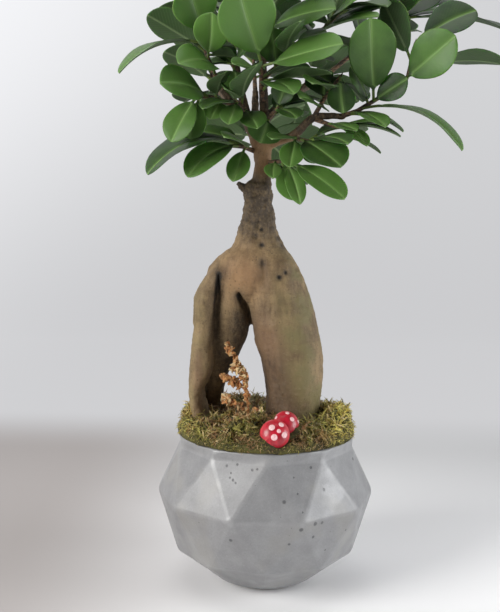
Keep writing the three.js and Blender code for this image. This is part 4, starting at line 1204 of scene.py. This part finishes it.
def leaf_shape(leaf, rings, draw):
    """Points, faces and values of one leaf, from its root in the twig to its tip."""
    base, tip = leaf["base"], leaf["tip"]
    run = tip - base
    length = np.linalg.norm(run)
    normal = unit(leaf["face"] - run * np.dot(leaf["face"], run) / length ** 2)
    control = (base + tip) / 2 + normal * leaf["arch"] * length * 2
    ripple, wave, sway = draw.uniform(0.02, 0.07), draw.uniform(0, 1), draw.uniform(-1, 1)
    # Painted shade: leaves further back, in shaded shoots or listed as shaded are darker; the tone then
    # differs at random
    lit = 0.25 + 0.55 * smooth_step(-2, -34, tip[1]) * leaf["light"]
    tone = np.clip(lit + draw.uniform(-0.12, 0.3), 0, 1)
    blades = 0.5 - 0.5 * np.cos(np.pi * (np.arange(rings) + 0.6) / rings)
    shares = [(STALK_SHARE * share, 0.0) for share in STALK_RINGS]
    shares += [(STALK_SHARE + (1 - STALK_SHARE) * blade, blade) for blade in blades]
    turns = turns_round(2 * len(ACROSS) - 2)
    points, off_rib, blade_share, top_side = [base], [0.0], [-0.1], [0.5]
    for share, blade in shares:
        middle = base * (1 - share) ** 2 + control * 2 * share * (1 - share) + tip * share ** 2
        along = unit((control - base) * (1 - share) + (tip - control) * share)
        across = unit(np.cross(normal, along))
        up = np.cross(along, across)
        half = max(leaf["width"] / 2 * blade_outline(blade), 0.5)
        sideways, height, sides = leaf_section(half, ripple, blade, wave)
        blend = smooth_step(0.0, 0.1, blade)
        radius = STALK_RADIUS * (1 - 0.25 * blade)
        sideways = sideways * blend + np.cos(turns) * radius * (1 - blend)
        height = height * blend + np.sin(turns) * radius * (1 - blend)
        bend = sway * 0.03 * length * math.sin(math.pi * blade) * blend
        points += list(middle + np.outer(sideways + bend, across) + np.outer(height, up))
        off_rib += list(sideways + (1 - blend) * 4)
        blade_share += [blade if blade > 0 else -0.1] * len(turns)
        top_side += list(sides)
    points.append(tip)
    off_rib.append(0.0)
    blade_share.append(1.0)
    top_side.append(0.5)
    values = {
        "off_rib": off_rib, "blade_share": blade_share, "top_side": top_side,
        "leaf_tone": [tone] * len(points),
    }
    return points, lofted_faces(len(shares), len(turns)), values


def twig_shape(twig):
    """Points and faces of a twig, with a closed end bud."""
    radii = np.linspace(TWIG_ROOT_RADIUS, TWIG_TIP_RADIUS, len(twig))
    rows = smooth_rows([(*point, radius, radius) for point, radius in zip(twig, radii)], 1)
    middles, rings = tube_rings(rows, TWIG_SIDES)
    start = middles[0] - unit(middles[1] - middles[0]) * TWIG_HEEL
    end = middles[-1] + unit(middles[-1] - middles[-2]) * TWIG_BUD
    return [start, *np.vstack(rings), end], lofted_faces(len(rings), TWIG_SIDES)


def make_spray(name, settings, materials):
    """One leafy shoot: its twig and its leaves."""
    draw = np.random.default_rng(list(SHOOTS).index(name) + 11)
    points, faces = twig_shape(SHOOTS[name][0])
    slots = [1] * len(faces)
    values = {key: [0.5] * len(points) for key in ("off_rib", "blade_share", "top_side", "leaf_tone")}
    for number, leaf in enumerate(leaves_of(name)):
        leaf["light"] = 0.0 if number in SHADED_LEAVES.get(name, ()) else SHOOT_LIGHT.get(name, 1.0)
        leaf_points, leaf_faces, leaf_values = leaf_shape(leaf, settings.rings, draw)
        faces += [tuple(index + len(points) for index in face) for face in leaf_faces]
        slots += [0] * len(leaf_faces)
        points += leaf_points
        for key, numbers in leaf_values.items():
            values[key] += numbers
    mesh = make_mesh("leaves_" + name, points, faces, values, materials, slots)
    fit_piece(show_mesh("leaves_" + name, mesh), "leaf", "spray_" + name)


# Moss

def moss_height(x, y):
    """Height of the cushion, as in the solid, with finer lumps."""
    radius = np.hypot(x, y)
    crown = np.interp(radius, MOSS_RADII, MOSS_CROWN)
    lumps = np.sin(x * 0.41 + 1.3) * np.cos(y * 0.37) + np.sin(x * 0.19 - y * 0.27 + 2.1)
    fade = np.where(radius > 50, 0.35, 1.0)
    tufts = sum(rise * bell(np.hypot(x - a, y - b), reach) for a, b, reach, rise in MOSS_TUFTS)
    return crown + (MOSS_LUMP * lumps + tufts) * fade


def moss_rings():
    """Closed rings of the cushion, from its middle below, round its edge, to its middle on top."""
    turns = turns_round(MOSS_SECTORS)
    ways = np.stack([np.cos(turns), np.sin(turns), np.zeros(MOSS_SECTORS)], axis=1)
    rings = [ways * radius + (0, 0, height) for radius, height in MOSS_UNDER[1:]]
    for share in np.linspace(1, 0.03, MOSS_RINGS):
        radius = MOSS_RADII[-1] * share ** 0.8
        wave = 0.5 * np.sin(5 * turns) + 0.4 * np.sin(8 * turns + 1)
        reach = radius + wave * smooth_step(RIM_INNER_RADIUS, RIM_RADIUS, radius)
        ring = ways * reach[:, None]
        ring[:, 2] = moss_height(ring[:, 0], ring[:, 1]) - MOSS_SINK
        rings.append(ring)
    return rings


def make_moss(settings):
    """The cushion and the shoots that stand on it."""
    rings = moss_rings()
    points = np.vstack([(0, 0, MOSS_UNDER[0][1]), *rings, (0, 0, moss_height(0.0, 0.0) - MOSS_SINK)])
    upper = np.arange(len(points)) > (len(MOSS_UNDER) - 1) * MOSS_SECTORS
    relief = 1.9 * roughness_at(points, 7.0, 5.0, 3) + 0.9 * roughness_at(points, 2.8, 9.0, 2)
    relief *= smooth_step(53, 47, np.hypot(points[:, 0], points[:, 1])) * 0.75 + 0.25
    points[:, 2] += np.where(upper, relief, 0)
    faces = lofted_faces(len(rings), MOSS_SECTORS)
    mesh = make_mesh("moss_cushion", points, faces, None, [moss_ground_material(settings)])
    fit_piece(show_mesh("moss_cushion", mesh), "moss", "moss")
    tree = moss_tree(moss_shoot_material(settings))
    top = upper_part(mesh)
    for name, seed, share, length, upright in MOSS_GROWTHS:
        piece = show_mesh(name, top.copy())
        grow_nodes(piece, tree, {
            "Shoots per area": settings.shoots_per_area * share / MM ** 2,
            "Shoot length": settings.shoot_length * length * MM, "Upright": upright, "Seed": seed,
        })
        fit_piece(piece, "moss")


def upper_part(mesh):
    """The faces of the cushion that look up or outwards, for the shoots to stand on."""
    shape = bmesh.new()
    shape.from_mesh(mesh)
    foot = MOSS_FOOT * MM
    low = [face for face in shape.faces if face.normal.z < 0.12 or face.calc_center_median().z < foot]
    bmesh.ops.delete(shape, geom=low, context="FACES")
    part = bpy.data.meshes.new("moss_top")
    shape.to_mesh(part)
    shape.free()
    return part


def moss_shoot(graph, length):
    """One strand of moss: small leaves in a spiral along a line that rises along Z and curls over."""
    line = graph.form("MeshLine", {
        "Count": 7, "Start Location": (0, 0, 0), "Offset": graph.combine(0, 0, length),
    }, {"mode": "END_POINTS"})
    index = Value(graph, graph.form("InputIndex"))
    leaflet = graph.form("MeshCone", {
        "Vertices": 3, "Side Segments": 1, "Radius Top": 0.0, "Radius Bottom": length * 0.15,
        "Depth": length * 0.36,
    }, {"fill_type": "NONE"})
    flat = graph.form("Transform", {"Geometry": leaflet, "Scale": (1.0, 0.5, 1.0)})
    turn = graph.combine(0.85 - index * 0.1, 0, index * math.radians(GOLDEN_ANGLE))
    spiral = graph.form("InstanceOnPoints", {"Points": line, "Instance": flat, "Rotation": turn})
    whole = graph.form("RealizeInstances", {"Geometry": spiral})
    x, y, z = graph.split(graph.form("InputPosition"))
    curl = z * z / length
    bent = graph.combine(x + curl * 0.75, y, z - curl * 0.45)
    return graph.form("SetPosition", {"Geometry": whole, "Position": bent})


def moss_room(graph, place, radius):
    """1 where moss may grow: tufts with gaps between, away from the toadstools."""
    tufts = graph.noise(place, 5.5, 2, 0.5).step(0.38, 0.54) * 0.9 + 0.1
    room = tufts.math("MAXIMUM", radius.step(48 * MM, 50.5 * MM))
    for centre, _, cap_radius, *_ in TOADSTOOLS.values():
        clear = graph.distance(place, centre).step((cap_radius + 1) * MM, (cap_radius + 4) * MM)
        room = room * clear
    return room


def moss_tree(material):
    graph, given, result = new_tree("moss_growth", [
        ("Shoots per area", "NodeSocketFloat", 500000.0), ("Shoot length", "NodeSocketFloat", 0.004),
        ("Upright", "NodeSocketFloat", 0.5), ("Seed", "NodeSocketInt", 1),
    ])
    place = graph.form("InputPosition")
    radius = graph.vector("LENGTH", graph.vector("MULTIPLY", place, (1, 1, 0)))
    density = moss_room(graph, place, radius) * Value(graph, given.outputs["Shoots per area"])
    spots = graph.add("GeometryNodeDistributePointsOnFaces", None, {
        "Mesh": given.outputs["Geometry"], "Density": density, "Seed": given.outputs["Seed"],
    })
    tilt = graph.vector("MULTIPLY", graph.random((-1, -1, -1), (1, 1, 1), 5, "FLOAT_VECTOR"), (1.5, 1.5, 0.5))
    raised = graph.vector("ADD", spots.outputs["Normal"], graph.combine(0, 0, given.outputs["Upright"]))
    spin = graph.add("FunctionNodeRotateRotation", {"rotation_space": "LOCAL"}, {
        "Rotation": graph.rotation_to(graph.vector("ADD", raised, tilt)),
        "Rotate By": graph.random((0, 0, 0), (0, 0, 2 * math.pi), 9, "FLOAT_VECTOR"),
    })
    grown = graph.form("InstanceOnPoints", {
        "Points": spots.outputs["Points"], "Rotation": spin.outputs[0],
        "Instance": moss_shoot(graph, Value(graph, given.outputs["Shoot length"])),
        "Scale": graph.random(0.55, 1.35, 21) * (1 - radius.step(46 * MM, 51.5 * MM) * 0.55),
    })
    return finish_tree(graph, result, graph.tag(grown, "moss_tone", 33), material, smooth=False)


# Toadstools

def turned_frame(looks):
    """Two ways across a cap and the way that it looks."""
    up = unit(np.array(looks, float))
    across = unit(np.cross((0, 0, 1), up))
    return across, np.cross(up, across), up


def cap_outline(steps):
    """The cap's profile with more points, rounder between the given ones."""
    rows = smooth_rows([(*point, 0.0) for point in CAP_PROFILE], steps)
    rows[:, 0] = np.maximum(rows[:, 0], 0)
    return rows[:, :2]


def make_toadstool(name, spec, materials):
    """A red cap with raised white dots on a pale stem."""
    centre, looks, radius, foot, dots = spec
    centre = np.array(centre)
    across, over, up = turned_frame(looks)
    outline = cap_outline(4)[1:-1]
    turns = turns_round(48)
    ways = np.outer(np.cos(turns), across) + np.outer(np.sin(turns), over)
    rings = [centre + (up * height + ways * share) * radius for share, height in outline]
    low, high = (centre + up * CAP_PROFILE[k][1] * radius for k in (0, -1))
    # cap_rim marks the rim for its painted highlight
    rim = np.repeat([smooth_step(0.74, 1.0, share) for share, _ in outline], len(turns))
    mesh = make_mesh(f"{name}_red_cap", np.vstack([low, *rings, high]), lofted_faces(len(rings), len(turns)),
                     {"cap_rim": [1, *rim, 0]}, [materials["cap"]])
    fit_piece(show_mesh(f"{name}_red_cap", mesh), "red_paint", f"toadstool_{name}_cap")
    full_outline = cap_outline(8)
    shares, heights = full_outline[len(full_outline) // 2:][::-1].T
    points, normals = [], []
    for x, y, _ in dots:
        share = math.hypot(x, y)
        height, next_height = np.interp((share, share + SLOPE_STEP), shares, heights)
        outward = (across * x + over * y) / max(share, 1e-6)
        points.append(centre + (across * x + over * y + up * height) * radius)
        normals.append(unit(up - outward * (next_height - height) / SLOPE_STEP))
    values = {"dot_radius": [dot[2] * MM for dot in dots], "facing": normals}
    piece = show_mesh(f"{name}_dots", make_mesh(f"{name}_dots", points, [], values))
    grow_nodes(piece, dot_tree(materials["dots"]), {"Raised": DOT_RISE})
    fit_piece(piece, "red_paint")
    make_stem(name, centre, looks, foot, materials["stem"])


def make_stem(name, centre, looks, foot, material):
    away = -unit(np.array(looks, float)) * CAP_TO_STEM
    top = centre + away
    bend = (top + away) * 0.75 + np.array(foot) * 0.25
    rows = [(*point, TOADSTOOL_STEM_RADIUS, TOADSTOOL_STEM_RADIUS) for point in (top, bend, foot)]
    middles, rings = tube_rings(smooth_rows(rows, 6), 24)
    points = np.vstack([middles[0], *rings, middles[-1]])
    mesh = make_mesh(f"{name}_pale_stem", points, lofted_faces(len(rings), 24), None, [material])
    fit_piece(show_mesh(f"{name}_pale_stem", mesh), "pale_paint", f"toadstool_{name}_stem")


def dot_tree(material):
    graph, given, result = new_tree("raised_dots", [("Raised", "NodeSocketFloat", DOT_RISE)])
    radius = Value(graph, graph.form("InputNamedAttribute", {"Name": "dot_radius"}, {"data_type": "FLOAT"}))
    facing = graph.form("InputNamedAttribute", {"Name": "facing"}, {"data_type": "FLOAT_VECTOR"})
    dots = graph.form("InstanceOnPoints", {
        "Points": given.outputs["Geometry"], "Rotation": graph.rotation_to(facing),
        "Instance": graph.form("MeshUVSphere", {"Segments": 20, "Rings": 10, "Radius": 1.0}),
        "Scale": graph.combine(radius, radius, radius * Value(graph, given.outputs["Raised"])),
    })
    return finish_tree(graph, result, dots, material)


# Dried sprig

def make_sprig(settings):
    """Thin dry stems with curled florets along them."""
    points, edges = [], []
    for line in SPRIG_STEMS:
        dense = smooth_rows(line, 8)
        dense = dense + np.stack([roughness_at(dense, 5, 2.0 + k, 2) for k in range(3)], axis=1) * 0.7
        edges += [(len(points) + k, len(points) + k + 1) for k in range(len(dense) - 1)]
        points += list(dense)
    mesh = bpy.data.meshes.new("dried_stems")
    mesh.from_pydata((np.array(points) * MM).tolist(), edges, [])
    piece = show_mesh("dried_florets", mesh)
    grow_nodes(piece, sprig_tree(dried_material(settings)), {
        "Stem radius": settings.stem_radius * MM, "Floret size": settings.floret_size * MM,
        "Spacing": settings.spacing * MM, "Seed": 4,
    })
    fit_piece(piece, "dried_plant", "dried_sprig")


def sprig_tree(material):
    graph, given, result = new_tree("dried_growth", [
        ("Stem radius", "NodeSocketFloat", 0.0006), ("Floret size", "NodeSocketFloat", 0.002),
        ("Spacing", "NodeSocketFloat", 0.0015), ("Seed", "NodeSocketInt", 1),
    ])
    curves = graph.form("MeshToCurve", {"Mesh": given.outputs["Geometry"]})
    ring = graph.form("CurvePrimitiveCircle", {"Resolution": 8, "Radius": given.outputs["Stem radius"]},
                      {"mode": "RADIUS"})
    stems = graph.form("CurveToMesh", {"Curve": curves, "Profile Curve": ring, "Fill Caps": True})
    along = Value(graph, graph.form("SplineParameter"))
    wanted = (along + graph.random(-0.25, 0.25, given.outputs["Seed"])).math("GREATER_THAN", 0.3)
    florets = graph.form("InstanceOnPoints", {
        "Points": graph.form("ResampleCurve", {"Curve": curves, "Length": given.outputs["Spacing"]},
                             {"mode": "LENGTH"}),
        "Selection": wanted, "Instance": curled_floret(graph),
        "Rotation": graph.random((-3.1, -3.1, -3.1), (3.1, 3.1, 3.1), 27, "FLOAT_VECTOR"),
        "Scale": graph.random(0.55, 1.25, 14) * Value(graph, given.outputs["Floret size"]),
    })
    return finish_tree(graph, result, graph.tag(florets, "floret_tone", 40), material, stems)


def curled_floret(graph):
    """A dry petal of unit size: a flattened ball, curled over and notched."""
    ball = graph.form("MeshUVSphere", {"Segments": 10, "Rings": 6, "Radius": 1.0})
    x, y, z = graph.split(graph.form("InputPosition"))
    notch = 1 - (x * 3.2 + y * 2.1).math("SINE") * 0.28
    curl = x * x * 0.7 + (y * 4).math("SINE") * 0.22
    curled = graph.combine(x * notch, y * notch * 0.72, z * 0.16 + curl)
    return graph.form("SetPosition", {"Geometry": ball, "Position": curled})


# Stage

def area_light(name, place, target, size, energy, color):
    data = bpy.data.lights.new(name, "AREA")
    data.shape = "DISK"
    data.size = size * MM
    data.energy = energy
    data.color = color
    light = bpy.data.objects.new(name, data)
    bpy.context.scene.collection.objects.link(light)
    light.location = Vector(place) * MM
    light.rotation_euler = (Vector(target) - Vector(place)).to_track_quat("-Z", "Y").to_euler()


def backdrop_material(settings):
    """A lit floor, painted darker at its back and left as shade, that turns into a backdrop glowing with
    painted light behind the part.
    """
    graph, place = new_material("backdrop")
    across, depth, height = graph.split(place)
    far = depth.step(*GLOW_BEHIND).math("MAXIMUM", graph.distance(place, (0, 0, 0)).step(*GLOW_AROUND))
    # Painted shade on the floor: darker towards the back, and darker and a little warm at the left
    lit_floor = graph.mix(depth.step(*FLOOR_FADE_BACK), settings.floor_color, settings.floor_far_shade_color)
    floor = graph.mix(across.step(*FLOOR_FADE_LEFT), lit_floor, settings.floor_left_shade_color)
    # Painted light: the glow of the backdrop, brighter up the wall and at the upper left
    wall = graph.mix(height.step(*WALL_FADE_UP), settings.wall_low_glow_color, settings.wall_high_glow_color)
    corner = (height - across * WALL_CORNER_SLANT).step(*WALL_CORNER_FADE)
    lit = graph.mix(corner, wall, settings.wall_corner_glow_color)
    return finish_material(graph, {
        "Base Color": graph.mix(far, floor, (0.04, 0.04, 0.04)), "Roughness": 0.8, "Specular IOR Level": 0.2,
        "Emission Color": graph.mix(far, (0, 0, 0), lit), "Emission Strength": 1.0,
    })


def make_stage(settings):
    """A pale floor that rises into a wall, soft lights and the camera."""
    turns = np.linspace(0, math.pi / 2, WALL_BEND_ROWS)
    start = WALL_PLACE - WALL_BEND
    bend = [(start + WALL_BEND * math.sin(turn), WALL_BEND * (1 - math.cos(turn))) for turn in turns]
    profile = [(FLOOR_FRONT, 0.0), *bend, (WALL_PLACE, WALL_HEIGHT)]
    points = [(side * FLOOR_REACH, y, z) for y, z in profile for side in (-1, 1)]
    faces = [(2 * k, 2 * k + 1, 2 * k + 3, 2 * k + 2) for k in range(len(profile) - 1)]
    floor = show_mesh("floor", make_mesh("floor", points, faces, None, [backdrop_material(settings)]))
    for name, place, target, size, power, color in LIGHTS:
        area_light(name, place, target, size, getattr(settings, power), color)
    make_world(settings)
    make_camera()


def make_world(settings):
    """Weak light from all round, and the brightness that the empty surroundings show."""
    world = bpy.data.worlds.new("studio")
    world.use_nodes = True
    graph = Graph(world.node_tree)
    background = world.node_tree.nodes["Background"]
    graph.feed(background.inputs["Color"], settings.world_color)
    seen = Value(graph, graph.add("ShaderNodeLightPath").outputs["Is Camera Ray"])
    gain = settings.world_seen - settings.world_strength
    graph.feed(background.inputs["Strength"], seen.math("MULTIPLY_ADD", gain, settings.world_strength))
    scene = bpy.context.scene
    scene.world = world
    scene.view_settings.view_transform = "Standard"


def make_camera():
    data = bpy.data.cameras.new("photo_camera")
    data.lens = CAMERA_LENS
    data.sensor_width = CAMERA_SENSOR
    data.sensor_fit = "AUTO"
    data.clip_start = 0.01
    camera = bpy.data.objects.new("photo_camera", data)
    bpy.context.scene.collection.objects.link(camera)
    pitch = Matrix.Rotation(math.radians(90 + CAMERA_PITCH), 4, "X")
    roll = Matrix.Rotation(math.radians(CAMERA_ROLL), 4, "Z")
    camera.matrix_world = Matrix.Translation(Vector(CAMERA_PLACE) * MM) @ pitch @ roll
    bpy.context.scene.camera = camera


# Settings

def number_setting(name, description, default):
    return FloatProperty(name=name, description=description, default=default)


def color_setting(name, description, default):
    return FloatVectorProperty(
        name=name, description=description, default=default, subtype="COLOR", min=0, max=1,
    )


class BonsaiPotSettings(bpy.types.PropertyGroup):
    edge_round: number_setting("Edge round", "Width of the worn facet edges in mm", 1.5)
    dark_color: color_setting("Dark", "Darkest grey of the concrete", (0.17, 0.17, 0.176))
    light_color: color_setting("Light", "Lightest grey of the concrete", (0.278, 0.278, 0.283))
    warm_color: color_setting("Warm", "Warm stain on the concrete", (0.28, 0.27, 0.25))
    worn_color: color_setting("Worn", "Worn facet edges", (0.38, 0.385, 0.39))
    # Colour of the air pits, and also of the painted shadow at the pot's foot
    pit_and_foot_shade_color: color_setting("Pits", "Air pits", (0.075, 0.075, 0.08))


class BonsaiTrunkSettings(bpy.types.PropertyGroup):
    pitch: number_setting("Pitch", "Spacing of the trunk's surface points in mm", 0.72)
    dark_color: color_setting("Dark", "Dark bark", (0.118, 0.078, 0.040))
    light_color: color_setting("Light", "Light bark", (0.275, 0.192, 0.096))
    green_color: color_setting("Green", "Olive film on the bark", (0.165, 0.138, 0.058))
    warm_color: color_setting("Warm", "Tan bark of the branches", (0.31, 0.17, 0.08))
    # Reddish bark, mixed in darker as painted shade inside the arch
    red_color: color_setting("Red", "Reddish bark inside the arch", (0.145, 0.076, 0.046))
    # Dark bark of the twigs, and the colour of the trunk's painted shade and of its darker neck
    dark_bark_and_shade_color: color_setting("Neck", "Dark bark of the neck and the hollows", (0.042, 0.031, 0.022))


class BonsaiLeafSettings(bpy.types.PropertyGroup):
    rings: IntProperty(name="Rings", description="Rings along a blade", default=18, min=6)
    # The upper side lies between Dark and Bright, and the underside between its two colours, by the leaf's
    # random tone and painted shade
    dark_color: color_setting("Dark", "Dark upper side", (0.014, 0.034, 0.009))
    bright_color: color_setting("Bright", "Bright upper side", (0.086, 0.178, 0.036))
    rib_color: color_setting("Rib", "Rib and veins above", (0.20, 0.33, 0.10))
    under_dark_color: color_setting("Dark underside", "Darker underside", (0.030, 0.060, 0.018))
    under_color: color_setting("Underside", "Underside", (0.095, 0.15, 0.06))
    under_rib_color: color_setting("Rib below", "Rib on the underside", (0.20, 0.27, 0.13))
    stalk_color: color_setting("Stalk", "Leaf stalk", (0.12, 0.17, 0.04))


class BonsaiMossSettings(bpy.types.PropertyGroup):
    shoots_per_area: number_setting("Shoots", "Moss shoots per square millimetre", 1.2)
    shoot_length: number_setting("Shoot length", "Length of a moss shoot in mm", 2.5)
    olive_color: color_setting("Olive", "Olive moss", (0.19, 0.165, 0.035))
    bright_color: color_setting("Bright", "Fresh green moss", (0.36, 0.32, 0.065))
    brown_color: color_setting("Brown", "Dead brown moss", (0.31, 0.165, 0.065))
    yellow_color: color_setting("Yellow", "Yellow-green moss at the edges", (0.78, 0.66, 0.15))
    dry_color: color_setting("Dry moss", "Orange-brown moss at the foot of the sprig", (0.50, 0.24, 0.09))
    straw_color: color_setting("Straw", "Dry pale moss", (0.62, 0.46, 0.22))


class BonsaiToadstoolSettings(bpy.types.PropertyGroup):
    cap_color: color_setting("Cap", "Red of the caps", (0.52, 0.005, 0.026))
    cap_shade: color_setting("Cap shade", "Darker red of the caps", (0.32, 0.002, 0.014))
    # Painted highlight round the rim of the caps
    rim_color: color_setting("Cap rim", "Paler red at the rim of the caps", (0.72, 0.06, 0.08))


class BonsaiSprigSettings(bpy.types.PropertyGroup):
    stem_radius: number_setting("Stem radius", "Radius of a dry stem in mm", 0.7)
    floret_size: number_setting("Floret size", "Reach of a dry floret in mm", 2.7)
    spacing: number_setting("Spacing", "Distance between florets in mm", 0.8)
    light_color: color_setting("Light", "Light orange-brown", (0.55, 0.27, 0.09))
    shade_color: color_setting("Shade", "Dark orange-brown", (0.2, 0.07, 0.025))
    straw_color: color_setting("Straw", "Bleached parts", (0.75, 0.58, 0.32))


class BonsaiStageSettings(bpy.types.PropertyGroup):
    key_power: number_setting("Key light", "Power of the light at the left in W", 10.4)
    fill_power: number_setting("Fill light", "Power of the light at the right in W", 7.9)
    top_power: number_setting("Top light", "Power of the top light in W", 2.7)
    world_strength: number_setting("World", "Strength of the surrounding light", 0.05)
    world_seen: number_setting("World as seen", "Brightness of the empty surroundings", 0.62)
    world_color: color_setting("World", "Colour of the surrounding light", (0.93, 0.95, 1.0))
    floor_color: color_setting("Floor", "Colour of the floor", (0.97, 0.965, 0.97))
    # The floor's painted shade at its back and at its left, and the wall's painted glow, brighter up and at
    # the upper left
    floor_far_shade_color: color_setting("Floor at the back", "Floor behind the part", (0.60, 0.60, 0.605))
    floor_left_shade_color: color_setting("Floor at the left", "Floor to the part's left", (0.42, 0.39, 0.38))
    wall_low_glow_color: color_setting("Wall foot", "Wall near the floor", (0.55, 0.55, 0.565))
    wall_high_glow_color: color_setting("Wall top", "Wall higher up", (0.625, 0.63, 0.645))
    wall_corner_glow_color: color_setting("Wall corner", "Wall at the upper left", (0.92, 0.925, 0.95))


# Operators

class BonsaiMakePot(bpy.types.Operator):
    """Makes the concrete pot and the soil in it"""

    bl_idname = "bonsai.make_pot"
    bl_label = "Pot and soil"

    def execute(self, context):
        make_pot(context.scene.bonsai_pot)
        make_soil()
        return {"FINISHED"}


class BonsaiMakeTrunk(bpy.types.Operator):
    """Makes the swollen roots, the neck and the branches"""

    bl_idname = "bonsai.make_trunk"
    bl_label = "Trunk"

    def execute(self, context):
        make_trunk(context.scene.bonsai_trunk)
        return {"FINISHED"}


class BonsaiMakeLeaves(bpy.types.Operator):
    """Makes the leafy shoots"""

    bl_idname = "bonsai.make_leaves"
    bl_label = "Leaves"

    def execute(self, context):
        settings = context.scene.bonsai_leaves
        materials = [leaf_material(settings), twig_material(context.scene.bonsai_trunk)]
        for name in SHOOTS:
            make_spray(name, settings, materials)
        return {"FINISHED"}


class BonsaiMakeMoss(bpy.types.Operator):
    """Makes the moss cushion and its shoots"""

    bl_idname = "bonsai.make_moss"
    bl_label = "Moss"

    def execute(self, context):
        make_moss(context.scene.bonsai_moss)
        return {"FINISHED"}


class BonsaiMakeOrnaments(bpy.types.Operator):
    """Makes the toadstools and the dried sprig"""

    bl_idname = "bonsai.make_ornaments"
    bl_label = "Ornaments"

    def execute(self, context):
        settings = context.scene.bonsai_toadstools
        materials = {"cap": cap_material(settings), "dots": dot_material(), "stem": stem_material()}
        for name, spec in TOADSTOOLS.items():
            make_toadstool(name, spec, materials)
        make_sprig(context.scene.bonsai_sprig)
        return {"FINISHED"}


class BonsaiMakeStage(bpy.types.Operator):
    """Makes the floor, the lights and the camera"""

    bl_idname = "bonsai.make_stage"
    bl_label = "Stage"

    def execute(self, context):
        make_stage(context.scene.bonsai_stage)
        return {"FINISHED"}


class BonsaiPanel(bpy.types.Panel):
    """Lists the bonsai's pieces"""

    bl_idname = "VIEW3D_PT_bonsai"
    bl_label = "Ginseng ficus bonsai"
    bl_space_type = "VIEW_3D"
    bl_region_type = "UI"
    bl_category = "Bonsai"

    def draw(self, context):
        for operator, groups in PANEL_ROWS:
            box = self.layout.box()
            box.operator(operator.bl_idname)
            for group in groups:
                settings = getattr(context.scene, group)
                for name in settings.__annotations__:
                    box.prop(settings, name)


SETTINGS = {
    "bonsai_pot": BonsaiPotSettings,
    "bonsai_trunk": BonsaiTrunkSettings,
    "bonsai_leaves": BonsaiLeafSettings,
    "bonsai_moss": BonsaiMossSettings,
    "bonsai_toadstools": BonsaiToadstoolSettings,
    "bonsai_sprig": BonsaiSprigSettings,
    "bonsai_stage": BonsaiStageSettings,
}
PANEL_ROWS = (
    (BonsaiMakePot, ("bonsai_pot",)),
    (BonsaiMakeTrunk, ("bonsai_trunk",)),
    (BonsaiMakeLeaves, ("bonsai_leaves",)),
    (BonsaiMakeMoss, ("bonsai_moss",)),
    (BonsaiMakeOrnaments, ("bonsai_toadstools", "bonsai_sprig")),
    (BonsaiMakeStage, ("bonsai_stage",)),
)
OPERATORS = tuple(operator for operator, _ in PANEL_ROWS)


def register():
    for name, group in SETTINGS.items():
        bpy.utils.register_class(group)
        setattr(bpy.types.Scene, name, PointerProperty(type=group))
    for item in (*OPERATORS, BonsaiPanel):
        bpy.utils.register_class(item)


def unregister():
    for item in (BonsaiPanel, *reversed(OPERATORS)):
        bpy.utils.unregister_class(item)
    for name, group in reversed(SETTINGS.items()):
        delattr(bpy.types.Scene, name)
        bpy.utils.unregister_class(group)


def main():
    register()
    bpy.ops.bonsai.make_pot()
    bpy.ops.bonsai.make_trunk()
    bpy.ops.bonsai.make_leaves()
    bpy.ops.bonsai.make_moss()
    bpy.ops.bonsai.make_ornaments()
    bpy.ops.bonsai.make_stage()


if __name__ == "__main__":
    main()
